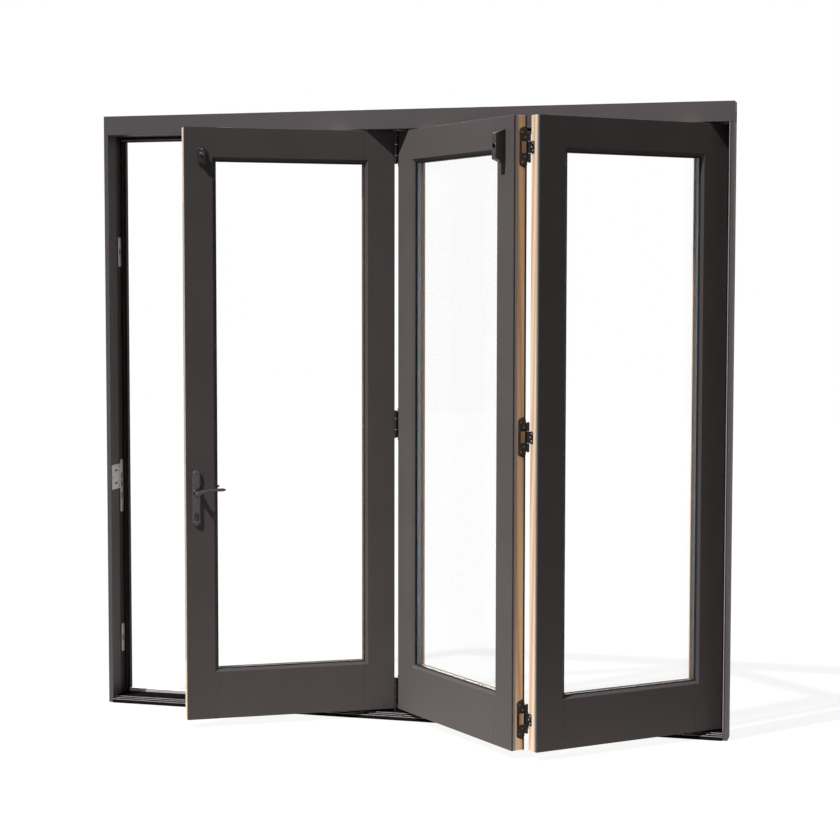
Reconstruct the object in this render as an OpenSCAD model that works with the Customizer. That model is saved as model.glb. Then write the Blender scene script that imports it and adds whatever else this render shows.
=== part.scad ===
// Three-leaf folding glass patio door in its frame, half open.
// X runs along the wall as seen from outdoors, Y into the building, Z up.
// The origin is the middle of the sill's underside.

/* [Leaf] */
// Width of one leaf
leaf_w = 870; // [700:5:1000]
// Height of one leaf
leaf_h = 2400; // [2000:10:2600]
// Thickness of one leaf
leaf_t = 58; // [52:1:70]
// Depth of the metal cladding on the outdoor face
clad_t = 16; // [12:1:20]
// Width of the upright stiles
stile_w = 128; // [100:1:160]
// Height of the top rail
top_rail_h = 134; // [100:1:180]
// Height of the bottom rail
bottom_rail_h = 207; // [120:1:300]
// Width of the bevel around the glass
bevel_w = 14; // [8:1:20]
// Depth of the bevel around the glass
bevel_d = 10; // [4:1:11]

/* [Glass] */
// Thickness of each pane
pane_t = 4; // [3:0.5:6]
// Distance between the two panes
pane_gap = 18; // [10:1:20]
// Clearance around the edge of the panes
pane_clear = 2; // [1:0.5:4]
// Width of the bar that holds the panes apart
spacer_w = 9; // [6:1:10]

/* [Frame] */
// Width of the jambs' front face
jamb_w = 20; // [16:1:40]
// Height of the head's front face
head_h = 80; // [66:1:110]
// Depth of the frame from outdoors to indoors
frame_d = 157; // [152:1:200]
// Depth of the frame's metal cladding
frame_clad_d = 80; // [78:1:90]
// How far the jamb boards are set in from the cladding's outer side
board_inset = 9; // [2:1:12]
// Distance from the frame's front to the closed leaves
leaf_setback = 68; // [66:1:70]
// How far the stops stand out from the jambs
stop_w = 20; // [10:1:24]
// Thickness of the weatherstrip on the stops
seal_t = 7; // [4:1:8]
// Gap between leaves, and between leaf and jamb
leaf_gap = 4; // [4:0.5:8]
// Gap above the leaves
head_gap = 5; // [5:1:10]

/* [Sill] */
// Height of the sill's indoor strip
sill_h = 40; // [38:1:60]
// Height of the sill under the closed leaves
sill_mid_h = 25; // [20:1:26]
// Height of the sill's outdoor lip
sill_lip_h = 12; // [8:1:16]
// How far the sill's lip stands out in front of the frame
sill_nose = 8; // [0:1:20]
// Gap under the leaves, above the sill
sill_gap = 9; // [6:1:20]
// Number of ribs on the sill
rib_count = 3; // [2:1:3]
// Distance between ribs
rib_pitch = 16; // [12:1:17]
// Width and height of a rib
rib_size = 3; // [2:0.5:4]

/* [Folding] */
// Angle of the two folded leaves to the wall
fold_angle = 44; // [20:1:80]
// Angle of the access leaf to the wall
access_angle = 31; // [20:1:80]

/* [Hinges] */
// Distance of a hinge pin from the face of the leaf
pin_off = 10; // [8:0.5:14]
// Radius of a hinge pin
pin_r = 3; // [2:0.5:3.5]
// Radius of a hinge barrel
barrel_r = 5.5; // [5:0.5:7]
// Running clearance around a hinge pin
pin_clear = 0.1; // [0.05:0.05:0.1]
// Clearance around a hinge barrel in the jamb
barrel_relief = 0.5; // [0.3:0.1:1.5]
// Height of a hinge's outer plate
plate_h = 134; // [110:1:160]
// Height of a hinge's barrel
barrel_h = 110; // [90:1:130]
// Height of a hinge's centre plate
centre_h = 44; // [30:1:60]
// How far a hinge plate reaches over the leaf's edge
plate_reach = 32; // [28:1:36]
// Thickness of a hinge plate
plate_t = 3.4; // [2:0.2:3.6]
// Gap between the nested hinge plates
nest_gap = 1; // [0.5:0.5:3]
// Width of the outer plate's back strip
plate_back = 8; // [5:1:12]
// Distance of the end hinges' middle from the leaf's end
end_hinge = 118; // [80:1:200]
// The same distance on the hinges that hang in the track
track_hinge = 76; // [70:1:120]
// Height of the middle hinge above the leaf's bottom
middle_hinge = 1195; // [1000:5:1300]

/* [Lever handle] */
// Distance of the spindle from the leaf's free edge
backset = 40; // [36:1:60]
// Height of the spindle above the leaf's bottom
lever_z = 930; // [850:5:1100]
// Length of the lever from the spindle
lever_len = 114; // [90:1:140]
// Height of the lever's blade
lever_h = 14; // [10:1:20]
// Thickness of the lever's blade
lever_t = 9; // [6:1:14]
// Distance from the leaf's face to the lever's blade
lever_off = 44; // [35:1:60]
// Radius of the lever's hub
hub_r = 11; // [9:0.5:14]
// Side of the square spindle
spindle_s = 8; // [7:0.5:9]
// Clearance of the spindle's corners in its hole
spindle_clear = 0.5; // [0.3:0.1:1.5]
// Width of the escutcheon
esc_w = 34; // [28:1:44]
// Thickness of the escutcheon
esc_t = 8; // [4:1:12]
// Height of the escutcheon above the spindle
esc_up = 93; // [60:1:120]
// Height of the escutcheon below the spindle
esc_down = 134; // [120:1:160]
// Distance of the lock cylinder below the spindle
cylinder_drop = 92; // [70:1:110]
// Radius of the lock cylinder
cylinder_r = 8.5; // [7:0.5:10]

/* [Catch] */
// Distance of the catch from the leaf's free edge
catch_u = 71; // [50:1:110]
// Distance of the catch below the leaf's top
catch_drop = 113; // [100:1:160]
// Length of the catch's bullet
bullet_len = 45; // [30:1:60]

/* [Hidden] */
$fn = 48;
eps = 1;

// Whole frame, worked out from the leaves that it holds
frame_w = 2 * jamb_w + 3 * leaf_w + 4 * leaf_gap;
leaf_z = sill_mid_h + sill_gap;
head_z = leaf_z + leaf_h + head_gap;
front_y = -frame_d / 2;
back_y = frame_d / 2;
left_x = -frame_w / 2;
right_x = frame_w / 2;
seal_y = front_y + leaf_setback + leaf_t;
stop_y = seal_y + seal_t;
stop_d = back_y - stop_y;

// Pivots, seen from above: at the jamb, and where the first two leaves meet
pin_y = front_y + leaf_setback - pin_off;
jamb_pin = [right_x - jamb_w - leaf_gap / 2, pin_y];
arm = leaf_w + leaf_gap;
offset_y = 2 * pin_off + leaf_t;
fold_span = 2 * (arm * cos(fold_angle) + offset_y * sin(fold_angle));
track_pin = [jamb_pin[0] - fold_span, pin_y];

// Glass opening of a leaf
unit_t = 2 * pane_t + pane_gap;
wood_w = stile_w - bevel_w;
bead_y = clad_t + unit_t;
open_u = [stile_w, leaf_w - stile_w];
open_z = [bottom_rail_h, leaf_h - top_rail_h];

// Hinge heights above the leaf's bottom
edge_hinges = [end_hinge, middle_hinge, leaf_h - end_hinge];
track_hinges = [track_hinge, middle_hinge, leaf_h - track_hinge];
knuckle_h = (barrel_h - centre_h) / 2 - nest_gap;

// Track in the head
track_w = 38;
track_h = 44;
track_wall = 2.5;
track_slot = 15;
wheel_r = 11;

// Colours
metal = [0.31, 0.30, 0.31];
timber = [0.78, 0.62, 0.44];
silver = [0.62, 0.62, 0.65];
black = [0.10, 0.10, 0.10];
clear = [0.75, 0.85, 0.88, 0.35];

// Puts a leaf's own frame in place. u runs along the leaf, v into it from its outdoor face.
module place_access() {
    translate([track_pin[0], track_pin[1], leaf_z]) rotate([0, 0, access_angle])
        translate([-leaf_gap / 2 - leaf_w, pin_off, 0]) children();
}
module place_middle() {
    translate([track_pin[0], track_pin[1], leaf_z]) rotate([0, 0, -fold_angle])
        translate([leaf_gap / 2, pin_off, 0]) children();
}
module place_jamb_leaf() {
    translate([jamb_pin[0], jamb_pin[1], leaf_z]) rotate([0, 0, fold_angle])
        translate([-leaf_gap / 2 - leaf_w, pin_off, 0]) children();
}

// A box from its low corner to its high corner
module span(low, high) {
    translate(low) cube(high - low);
}

// Frame profiles along X are drawn with y to the right and z up
module along_x(length) {
    translate([-length / 2, 0, 0]) rotate([90, 0, 90]) linear_extrude(length) children();
}

// Head
module head_cladding() {
    color(metal) along_x(frame_w) difference() {
        translate([front_y, head_z]) square([frame_clad_d, head_h]);
        translate([pin_y - track_w / 2, head_z - eps]) square([track_w, track_h + eps]);
    }
}
module head_board() {
    color(metal) {
        along_x(frame_w - 2 * board_inset) translate([front_y + frame_clad_d, head_z])
            square([frame_d - frame_clad_d, head_h - board_inset]);
        along_x(frame_w - 2 * jamb_w) translate([stop_y, head_z - stop_w])
            square([stop_d, stop_w + eps]);
    }
}
module head_track() {
    color(silver) along_x(frame_w - 2 * jamb_w) translate([pin_y, head_z]) difference() {
        translate([-track_w / 2, 0]) square([track_w, track_h]);
        translate([-track_w / 2 + track_wall, track_wall])
            square([track_w - 2 * track_wall, track_h - 2 * track_wall]);
        translate([-track_slot / 2, -eps]) square([track_slot, track_wall + 2 * eps]);
    }
}

// Jambs
module jamb_cladding() {
    color(metal) span([left_x, front_y, 0], [left_x + jamb_w, front_y + frame_clad_d, head_z]);
}
module jamb_board() {
    color(metal) {
        span([left_x + board_inset, front_y + frame_clad_d, 0],
            [left_x + jamb_w, back_y, head_z]);
        span([left_x + jamb_w - eps, stop_y, sill_mid_h],
            [left_x + jamb_w + stop_w, back_y, head_z - stop_w]);
    }
}
module left_jamb_cladding() { jamb_cladding(); }
module left_jamb_board() { jamb_board(); }
module right_jamb_cladding() {
    color(metal) difference() {
        mirror([1, 0, 0]) jamb_cladding();
        barrel_reliefs();
    }
}
// Hollows in the right jamb's face that the hinge barrels stand in
module barrel_reliefs() {
    for (z = edge_hinges)
        translate([jamb_pin[0], jamb_pin[1], leaf_z + z - barrel_h / 2 - barrel_relief])
            cylinder(r = barrel_r + barrel_relief, h = barrel_h + 2 * barrel_relief);
}
module right_jamb_board() { mirror([1, 0, 0]) jamb_board(); }

// Sill between the jambs: a ribbed slope, a guide groove and a raised indoor strip
groove_w = 14;
groove_h = 12;
groove_lip = 3;
rib_start = 4;
strip_y = stop_y - seal_t;
slope_y0 = front_y - sill_nose;
slope_y1 = pin_y - groove_w / 2 - groove_lip;
slope = (sill_mid_h - sill_lip_h) / (slope_y1 - slope_y0);
function slope_z(y) = sill_lip_h + slope * (y - slope_y0);
function rib_y(i) = slope_y1 - rib_start - (i + 1) * rib_pitch;
module sill() {
    color(metal) along_x(frame_w - 2 * jamb_w) difference() {
        union() {
            polygon([[slope_y0, 0], [back_y, 0], [back_y, sill_mid_h], [slope_y1, sill_mid_h],
                [slope_y0, sill_lip_h]]);
            for (i = [0 : rib_count - 1])
                translate([rib_y(i), 0]) square([rib_size, slope_z(rib_y(i)) + rib_size]);
        }
        translate([pin_y - groove_w / 2, groove_h]) square([groove_w, sill_mid_h]);
    }
}
module sill_strip() {
    color(silver) span([left_x + jamb_w + stop_w, strip_y, sill_mid_h],
        [right_x - jamb_w - stop_w, back_y, sill_h]);
}

// Weatherstrip on the front of the stops
strip_w = 10;
module frame_weatherstrip() {
    color(black) {
        for (side = [0, 1]) mirror([side, 0, 0])
            span([left_x + jamb_w, seal_y, sill_h],
                [left_x + jamb_w + strip_w, stop_y, head_z - stop_w]);
        span([left_x + jamb_w + stop_w, seal_y, head_z - strip_w],
            [right_x - jamb_w - stop_w, stop_y, head_z]);
    }
}

// Slopes around a leaf's glass, as the part common to two long wedges
module bevel_cutter() {
    intersection() {
        translate([0, 0, -eps]) linear_extrude(leaf_h + 2 * eps)
            polygon([[open_u[0] - bevel_w, 0], [open_u[0], bevel_d], [open_u[1], bevel_d],
                [open_u[1] + bevel_w, 0]]);
        translate([-eps, 0, 0]) rotate([90, 0, 90]) linear_extrude(leaf_w + 2 * eps)
            polygon([[0, open_z[0] - bevel_w], [bevel_d, open_z[0]], [bevel_d, open_z[1]],
                [0, open_z[1] + bevel_w]]);
    }
}

// Leaf pieces in the leaf's own frame
module stile_cladding() {
    color(metal) difference() {
        for (u = [0, leaf_w - stile_w]) span([u, 0, 0], [u + stile_w, clad_t, leaf_h]);
        bevel_cutter();
        children();
    }
}
module rail_cladding() {
    color(metal) difference() {
        union() {
            span([stile_w, 0, 0], [leaf_w - stile_w, clad_t, bottom_rail_h]);
            span([stile_w, 0, open_z[1]], [leaf_w - stile_w, clad_t, leaf_h]);
        }
        bevel_cutter();
    }
}
module stiles() {
    color(timber) difference() {
        for (u = [0, leaf_w - wood_w]) span([u, clad_t, 0], [u + wood_w, leaf_t, leaf_h]);
        children();
    }
}
module rails() {
    color(timber) {
        span([wood_w, clad_t, 0], [leaf_w - wood_w, leaf_t, bottom_rail_h - bevel_w]);
        span([wood_w, clad_t, open_z[1] + bevel_w], [leaf_w - wood_w, leaf_t, leaf_h]);
    }
}
module panes() {
    edge = wood_w + pane_clear;
    low = bottom_rail_h - bevel_w + pane_clear;
    high = open_z[1] + bevel_w - pane_clear;
    color(clear) for (v = [clad_t, clad_t + pane_t + pane_gap])
        span([edge, v, low], [leaf_w - edge, v + pane_t, high]);
}
spacer_inset = 1;
module spacer() {
    edge = wood_w + pane_clear + spacer_inset;
    low = bottom_rail_h - bevel_w + pane_clear + spacer_inset;
    high = open_z[1] + bevel_w - pane_clear - spacer_inset;
    v0 = clad_t + pane_t;
    color(silver) difference() {
        span([edge, v0, low], [leaf_w - edge, v0 + pane_gap, high]);
        span([edge + spacer_w, v0 - eps, low + spacer_w],
            [leaf_w - edge - spacer_w, v0 + pane_gap + eps, high - spacer_w]);
    }
}
// Beads stop just short of each other at the corners
bead_end = 0.5;
module beads() {
    low = bottom_rail_h - bevel_w;
    high = open_z[1] + bevel_w;
    color(timber) {
        for (u = [wood_w, leaf_w - stile_w]) span([u, bead_y, low], [u + bevel_w, leaf_t, high]);
        for (z = [low, high - bevel_w])
            span([stile_w + bead_end, bead_y, z],
                [leaf_w - stile_w - bead_end, leaf_t, z + bevel_w]);
    }
}

// Hinges in the frame of an edge: x out of the edge, y toward the pin, z up.
// The pin stands at [leaf_gap / 2, pin_off], the leaf's face is at y = 0.
module outer_plate(z) {
    window = centre_h + 2 * nest_gap;
    difference() {
        union() {
            span([0, -plate_reach, z - plate_h / 2], [plate_t, 0, z + plate_h / 2]);
            span([0, -eps, z - barrel_h / 2], [plate_t, pin_off, z + barrel_h / 2]);
            for (z0 = [z - barrel_h / 2, z + barrel_h / 2 - knuckle_h])
                translate([leaf_gap / 2, pin_off, z0]) cylinder(r = barrel_r, h = knuckle_h);
        }
        span([-eps, -plate_reach + plate_back, z - window / 2],
            [plate_t + eps, pin_off + eps, z + window / 2]);
        translate([leaf_gap / 2, pin_off, z - plate_h])
            cylinder(r = pin_r + pin_clear, h = 2 * plate_h);
    }
}
module centre_plate(z) {
    span([0, -plate_reach + plate_back + nest_gap, z - centre_h / 2],
        [plate_t, pin_off, z + centre_h / 2]);
    translate([leaf_gap / 2, pin_off, z - centre_h / 2]) cylinder(r = barrel_r, h = centre_h);
    translate([leaf_gap / 2, pin_off, z - barrel_h / 2]) cylinder(r = pin_r, h = barrel_h);
}
// Edge frames on a leaf, with the pin beyond the outdoor or the indoor face
module right_edge_indoor() { translate([leaf_w, leaf_t, 0]) children(); }
module left_edge_indoor() { translate([0, leaf_t, 0]) mirror([1, 0, 0]) children(); }
module right_edge_outdoor() { translate([leaf_w, 0, 0]) mirror([0, 1, 0]) children(); }
module left_edge_outdoor() { mirror([1, 0, 0]) mirror([0, 1, 0]) children(); }

module jamb_hinge_outer_plates() {
    color(black) translate([right_x - jamb_w, front_y + leaf_setback, leaf_z])
        mirror([1, 0, 0]) mirror([0, 1, 0]) for (z = edge_hinges) outer_plate(z);
}
module jamb_hinge_centre_plates() {
    color(black) place_jamb_leaf() right_edge_outdoor() for (z = edge_hinges) centre_plate(z);
}
module fold_hinge_outer_plates() {
    color(black) place_middle() right_edge_indoor() for (z = edge_hinges) outer_plate(z);
}
module fold_hinge_centre_plates() {
    color(black) place_jamb_leaf() left_edge_indoor() for (z = edge_hinges) centre_plate(z);
}
module track_hinge_outer_plates() {
    color(black) place_middle() left_edge_outdoor() for (z = track_hinges) outer_plate(z);
}
module track_hinge_centre_plates() {
    color(black) place_access() right_edge_outdoor() for (z = track_hinges) centre_plate(z);
}

// Weatherstrip on the leaves' meeting edges, cut short at the indoor hinges
leaf_strip_w = 7;
leaf_strip_t = 3;
leaf_strip_back = 1;
module edge_strip(v, low, high) {
    span([leaf_w, v, low], [leaf_w + leaf_strip_t, v + leaf_strip_w, high]);
}
module leaf_weatherstrips() {
    v0 = leaf_t - leaf_strip_w - leaf_strip_back;
    stops = [0, for (z = edge_hinges) each [z - plate_h / 2, z + plate_h / 2], leaf_h];
    color(black) {
        place_middle() for (i = [0 : 2 : len(stops) - 2])
            edge_strip(v0, stops[i], stops[i + 1]);
        place_access() edge_strip(v0, 0, leaf_h);
        place_jamb_leaf() edge_strip(v0, 0, leaf_h);
    }
}

// Lever handle set. across(v) starts a shape at depth v, with its own z toward indoors.
spindle_r = spindle_s / sqrt(2) + spindle_clear;
cylinder_clear = 0.3;
cylinder_hole = cylinder_r + cylinder_clear;
hole_len = leaf_t + 2 * esc_t + 2 * eps;
module across(v) {
    translate([backset, v, lever_z]) rotate([-90, 0, 0]) children();
}
module handle_holes() {
    across(-esc_t - eps) {
        cylinder(r = spindle_r, h = hole_len);
        translate([0, cylinder_drop, 0]) cylinder(r = cylinder_hole, h = hole_len);
    }
}
module escutcheon_shape() {
    r = esc_w / 2;
    difference() {
        union() {
            translate([-r, -esc_up + r]) square([esc_w, esc_up + esc_down - esc_w]);
            translate([0, -esc_up + r]) circle(r);
            translate([0, esc_down - r]) circle(r);
        }
        circle(spindle_r);
        translate([0, cylinder_drop]) circle(cylinder_hole);
    }
}
module escutcheons() {
    color(black) place_access() for (v = [-esc_t, leaf_t])
        across(v) linear_extrude(esc_t) escutcheon_shape();
}
hub_gap = 0.5;
root_r = 0.9 * hub_r;
neck_at = 0.24 * lever_len;
neck_r = 0.5 * lever_h;
waist_at = 0.47 * lever_len;
waist_r = 0.33 * lever_h;
blade_at = 0.72 * lever_len;
blade_r = lever_h / 2;
blade_rise = 14;
tip_r = 0.2 * lever_h;
spindle_cap = 4;
// Blade seen from outdoors with z down: it sweeps up from the hub to a waist, and swells
// to a rounded tip
module lever_shape() {
    waist = [waist_at, -0.9 * blade_rise];
    blade = [blade_at, -blade_rise];
    hull() {
        circle(r = root_r);
        translate([neck_at, -blade_rise / 2]) circle(r = neck_r);
    }
    hull() {
        translate([neck_at, -blade_rise / 2]) circle(r = neck_r);
        translate(waist) circle(r = waist_r);
    }
    hull() {
        translate(waist) circle(r = waist_r);
        translate(blade) circle(r = blade_r);
    }
    hull() {
        translate(blade) circle(r = blade_r);
        translate([lever_len - tip_r, -blade_rise]) circle(r = tip_r);
    }
}
module lever() {
    difference() {
        union() {
            translate([0, 0, -lever_off]) cylinder(r = hub_r, h = lever_off - esc_t - hub_gap);
            translate([0, 0, -lever_off - lever_t]) linear_extrude(lever_t) lever_shape();
        }
        translate([-spindle_s / 2, -spindle_s / 2, spindle_cap - lever_off])
            cube([spindle_s, spindle_s, lever_off]);
    }
}
module outside_lever() {
    color(black) place_access() across(0) lever();
}
module inside_lever() {
    color(black) place_access() translate([0, leaf_t, 0]) across(0) mirror([0, 0, 1]) lever();
}
module spindle() {
    color(silver) place_access() across(spindle_cap - lever_off)
        translate([-spindle_s / 2, -spindle_s / 2, 0])
            cube([spindle_s, spindle_s, leaf_t + 2 * (lever_off - spindle_cap)]);
}
cylinder_proud = 3;
keyway = [2, 10, 6];
module lock_cylinder() {
    color(silver) place_access() across(-esc_t - cylinder_proud) translate([0, cylinder_drop, 0])
        difference() {
            cylinder(r = cylinder_r, h = leaf_t + 2 * (esc_t + cylinder_proud));
            translate([-keyway[0] / 2, -keyway[1] / 2, -eps])
                cube([keyway[0], keyway[1], keyway[2] + eps]);
        }
}

// Faceplate let into the access leaf's free edge
faceplate_w = 20;
faceplate_t = 2;
faceplate_z = [240, 2100];
faceplate_v = clad_t + (leaf_t - clad_t) / 2;
module lock_faceplate() {
    color(silver) place_access()
        span([0, faceplate_v - faceplate_w / 2, faceplate_z[0]],
            [faceplate_t, faceplate_v + faceplate_w / 2, faceplate_z[1]]);
}
module faceplate_groove() {
    span([-eps, faceplate_v - faceplate_w / 2, faceplate_z[0]],
        [faceplate_t, faceplate_v + faceplate_w / 2, faceplate_z[1]]);
}

// Keeps on the left jamb: heights of each plate's bottom and top, and of the latch lip
strike_w = 28;
strike_t = 1.5;
strike_spans = [[206, 328], [820, 1048], [1884, 2009]];
lip_span = [924, 1031];
lip_back = 4;
module strike_plates() {
    y0 = front_y + leaf_setback + faceplate_v - strike_w / 2;
    x0 = left_x + jamb_w;
    color(silver) {
        for (s = strike_spans) span([x0, y0, s[0]], [x0 + strike_t, y0 + strike_w, s[1]]);
        span([x0, front_y + lip_back, lip_span[0]], [x0 + strike_t, y0 + eps, lip_span[1]]);
    }
}

// Catch that holds the access leaf against the middle leaf when both are folded back
catch_z = leaf_h - catch_drop;
catch_plate_t = 5;
bullet_plate = [34, 70];
bullet_r = 10;
bullet_tip_r = 9;
bullet_step = 4;
receiver_w = 28;
receiver_d = 44;
receiver_base_h = 126;
receiver_front_h = 96;
socket_r = bullet_r + 1;
socket_floor = 10;
module catch_bullet() {
    color(black) place_access() translate([catch_u, 0, catch_z]) {
        span([-bullet_plate[0] / 2, -catch_plate_t, -bullet_plate[1] / 2],
            [bullet_plate[0] / 2, 0, bullet_plate[1] / 2]);
        rotate([90, 0, 0]) translate([0, 0, catch_plate_t - eps])
            cylinder(r = bullet_r, h = bullet_len - bullet_step - catch_plate_t + eps);
        translate([0, -bullet_len, 0]) sphere(r = bullet_tip_r);
    }
}
// Side of the receiver: a base on the leaf, and a block that tapers toward its front
module receiver_side() {
    base = receiver_base_h / 2;
    front = receiver_front_h / 2;
    polygon([[0, -base], [0, base], [-catch_plate_t, base], [-receiver_d, front],
        [-receiver_d, -front], [-catch_plate_t, -base]]);
}
module catch_receiver() {
    color(black) place_middle() translate([leaf_w - catch_u, 0, catch_z]) difference() {
        translate([-receiver_w / 2, 0, 0]) rotate([90, 0, 90]) linear_extrude(receiver_w)
            receiver_side();
        rotate([90, 0, 0]) translate([0, 0, socket_floor])
            cylinder(r = socket_r, h = receiver_d);
    }
}

// Trolley in the head track, on a bolt above the first hinge pin
wheel_x = 22;
wheel_t = 8;
wheel_clear = 0.2;
truck_d = 10;
truck_h = 14;
truck_end = 8;
bolt_r = 4.5;
axle_z = head_z + track_wall + wheel_r + wheel_clear;
module trolley() {
    low = leaf_z + leaf_h - track_hinge + barrel_h / 2;
    reach = wheel_x + truck_end;
    axle = truck_d + 2 * (wheel_t - eps);
    color(silver) translate([track_pin[0], pin_y, 0]) {
        translate([0, 0, low]) cylinder(r = bolt_r, h = axle_z - low);
        span([-reach, -truck_d / 2, axle_z - truck_h / 2], [reach, truck_d / 2, axle_z + truck_h / 2]);
        for (x = [-wheel_x, wheel_x]) translate([x, -axle / 2, axle_z]) rotate([-90, 0, 0])
            cylinder(r = wheel_r, h = axle);
    }
}
guide_l = 50;
guide_h = 9;
guide_clear = 0.5;
module sill_guide() {
    high = leaf_z + track_hinge - barrel_h / 2;
    half = groove_w / 2 - guide_clear;
    color(silver) translate([track_pin[0], pin_y, 0]) {
        translate([0, 0, groove_h]) cylinder(r = bolt_r, h = high - groove_h);
        span([-guide_l / 2, -half, groove_h], [guide_l / 2, half, groove_h + guide_h]);
    }
}

module access_leaf_stiles() { place_access() stiles() { handle_holes(); faceplate_groove(); } }
module access_leaf_rails() { place_access() rails(); }
module access_leaf_stile_cladding() { place_access() stile_cladding() handle_holes(); }
module access_leaf_rail_cladding() { place_access() rail_cladding(); }
module access_leaf_glass() { place_access() panes(); }
module middle_leaf_stiles() { place_middle() stiles(); }
module middle_leaf_rails() { place_middle() rails(); }
module middle_leaf_stile_cladding() { place_middle() stile_cladding(); }
module middle_leaf_rail_cladding() { place_middle() rail_cladding(); }
module middle_leaf_glass() { place_middle() panes(); }
module jamb_leaf_stiles() { place_jamb_leaf() stiles(); }
module jamb_leaf_rails() { place_jamb_leaf() rails(); }
module jamb_leaf_stile_cladding() { place_jamb_leaf() stile_cladding(); }
module jamb_leaf_rail_cladding() { place_jamb_leaf() rail_cladding(); }
module jamb_leaf_glass() { place_jamb_leaf() panes(); }
module glazing_beads() {
    place_access() beads();
    place_middle() beads();
    place_jamb_leaf() beads();
}
module glass_spacers() {
    place_access() spacer();
    place_middle() spacer();
    place_jamb_leaf() spacer();
}

head_cladding();
head_board();
head_track();
left_jamb_cladding();
left_jamb_board();
right_jamb_cladding();
right_jamb_board();
sill();
sill_strip();
frame_weatherstrip();
access_leaf_stiles();
access_leaf_rails();
access_leaf_stile_cladding();
access_leaf_rail_cladding();
access_leaf_glass();
middle_leaf_stiles();
middle_leaf_rails();
middle_leaf_stile_cladding();
middle_leaf_rail_cladding();
middle_leaf_glass();
jamb_leaf_stiles();
jamb_leaf_rails();
jamb_leaf_stile_cladding();
jamb_leaf_rail_cladding();
jamb_leaf_glass();
glazing_beads();
glass_spacers();
leaf_weatherstrips();
jamb_hinge_outer_plates();
jamb_hinge_centre_plates();
fold_hinge_outer_plates();
fold_hinge_centre_plates();
track_hinge_outer_plates();
track_hinge_centre_plates();
escutcheons();
outside_lever();
inside_lever();
spindle();
lock_cylinder();
lock_faceplate();
catch_bullet();
catch_receiver();
trolley();
sill_guide();
strike_plates();
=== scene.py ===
"""Looks for a three-leaf folding glass patio door that stands half open in its frame.

Lengths are metres in the part's own frame: X along the wall as seen from outdoors, Y into the
building, Z up, with the origin in the middle of the sill's underside. Sizes that the part's
source also has are given in millimetres, as there.
"""

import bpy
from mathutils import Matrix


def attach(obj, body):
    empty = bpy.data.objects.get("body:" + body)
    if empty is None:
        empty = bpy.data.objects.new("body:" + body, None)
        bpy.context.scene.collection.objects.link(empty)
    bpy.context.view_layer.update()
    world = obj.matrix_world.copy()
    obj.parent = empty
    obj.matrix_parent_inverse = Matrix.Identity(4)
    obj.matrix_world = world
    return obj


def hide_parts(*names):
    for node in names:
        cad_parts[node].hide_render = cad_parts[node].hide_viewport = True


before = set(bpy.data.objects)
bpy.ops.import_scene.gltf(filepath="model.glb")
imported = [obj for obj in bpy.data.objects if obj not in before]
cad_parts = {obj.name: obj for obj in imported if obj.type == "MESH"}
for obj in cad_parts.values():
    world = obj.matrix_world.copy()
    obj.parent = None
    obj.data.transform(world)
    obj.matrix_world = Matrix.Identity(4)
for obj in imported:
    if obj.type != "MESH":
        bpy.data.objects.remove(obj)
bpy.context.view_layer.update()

import logging
import math
from dataclasses import dataclass
from enum import Enum

import bmesh
import bpy
import numpy as np
from mathutils import Matrix, Vector
from mathutils.geometry import tessellate_polygon

LOG = logging.getLogger("patio_door")
MM = 0.001


class Body(Enum):
    """The part's two moving bodies."""

    DOOR = "door"
    LEVER = "lever"


class Grain(Enum):
    """Which way a board's grain runs in its leaf."""

    UPRIGHT = "upright"
    ACROSS = "across"


# Sizes


@dataclass(frozen=True)
class DoorSizes:
    """Millimetre sizes shared by all pieces, as in the part's source."""

    leaf_w: float = 870
    leaf_h: float = 2400
    leaf_t: float = 58
    clad_t: float = 16
    stile_w: float = 128
    top_rail_h: float = 134
    bottom_rail_h: float = 207
    bevel_w: float = 14
    pane_t: float = 4
    pane_gap: float = 18
    jamb_w: float = 20
    frame_d: float = 157
    leaf_setback: float = 68
    stop_w: float = 20
    seal_t: float = 7
    leaf_gap: float = 4
    head_gap: float = 5
    sill_h: float = 40
    sill_mid_h: float = 25
    sill_gap: float = 9
    fold_angle: float = 44
    access_angle: float = 31
    pin_off: float = 10

    @property
    def leaf_z(self) -> float:
        """Height of a leaf's bottom."""
        return self.sill_mid_h + self.sill_gap

    @property
    def head_z(self) -> float:
        """Height of the head's underside."""
        return self.leaf_z + self.leaf_h + self.head_gap

    @property
    def frame_w(self) -> float:
        """Width of the whole frame."""
        return 2 * self.jamb_w + 3 * self.leaf_w + 4 * self.leaf_gap

    @property
    def front_y(self) -> float:
        """Depth of the frame's outdoor face."""
        return -self.frame_d / 2

    @property
    def pin_y(self) -> float:
        """Depth of the hinge pins at the jamb and under the track."""
        return self.front_y + self.leaf_setback - self.pin_off

    @property
    def jamb_pin_x(self) -> float:
        """Place of the hinge pins at the right jamb."""
        return self.frame_w / 2 - self.jamb_w - self.leaf_gap / 2

    @property
    def track_pin_x(self) -> float:
        """Place of the pins that hang in the track."""
        turn = math.radians(self.fold_angle)
        arm = self.leaf_w + self.leaf_gap
        depth = 2 * self.pin_off + self.leaf_t
        return self.jamb_pin_x - 2 * (arm * math.cos(turn) + depth * math.sin(turn))


SIZES = DoorSizes()


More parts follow.
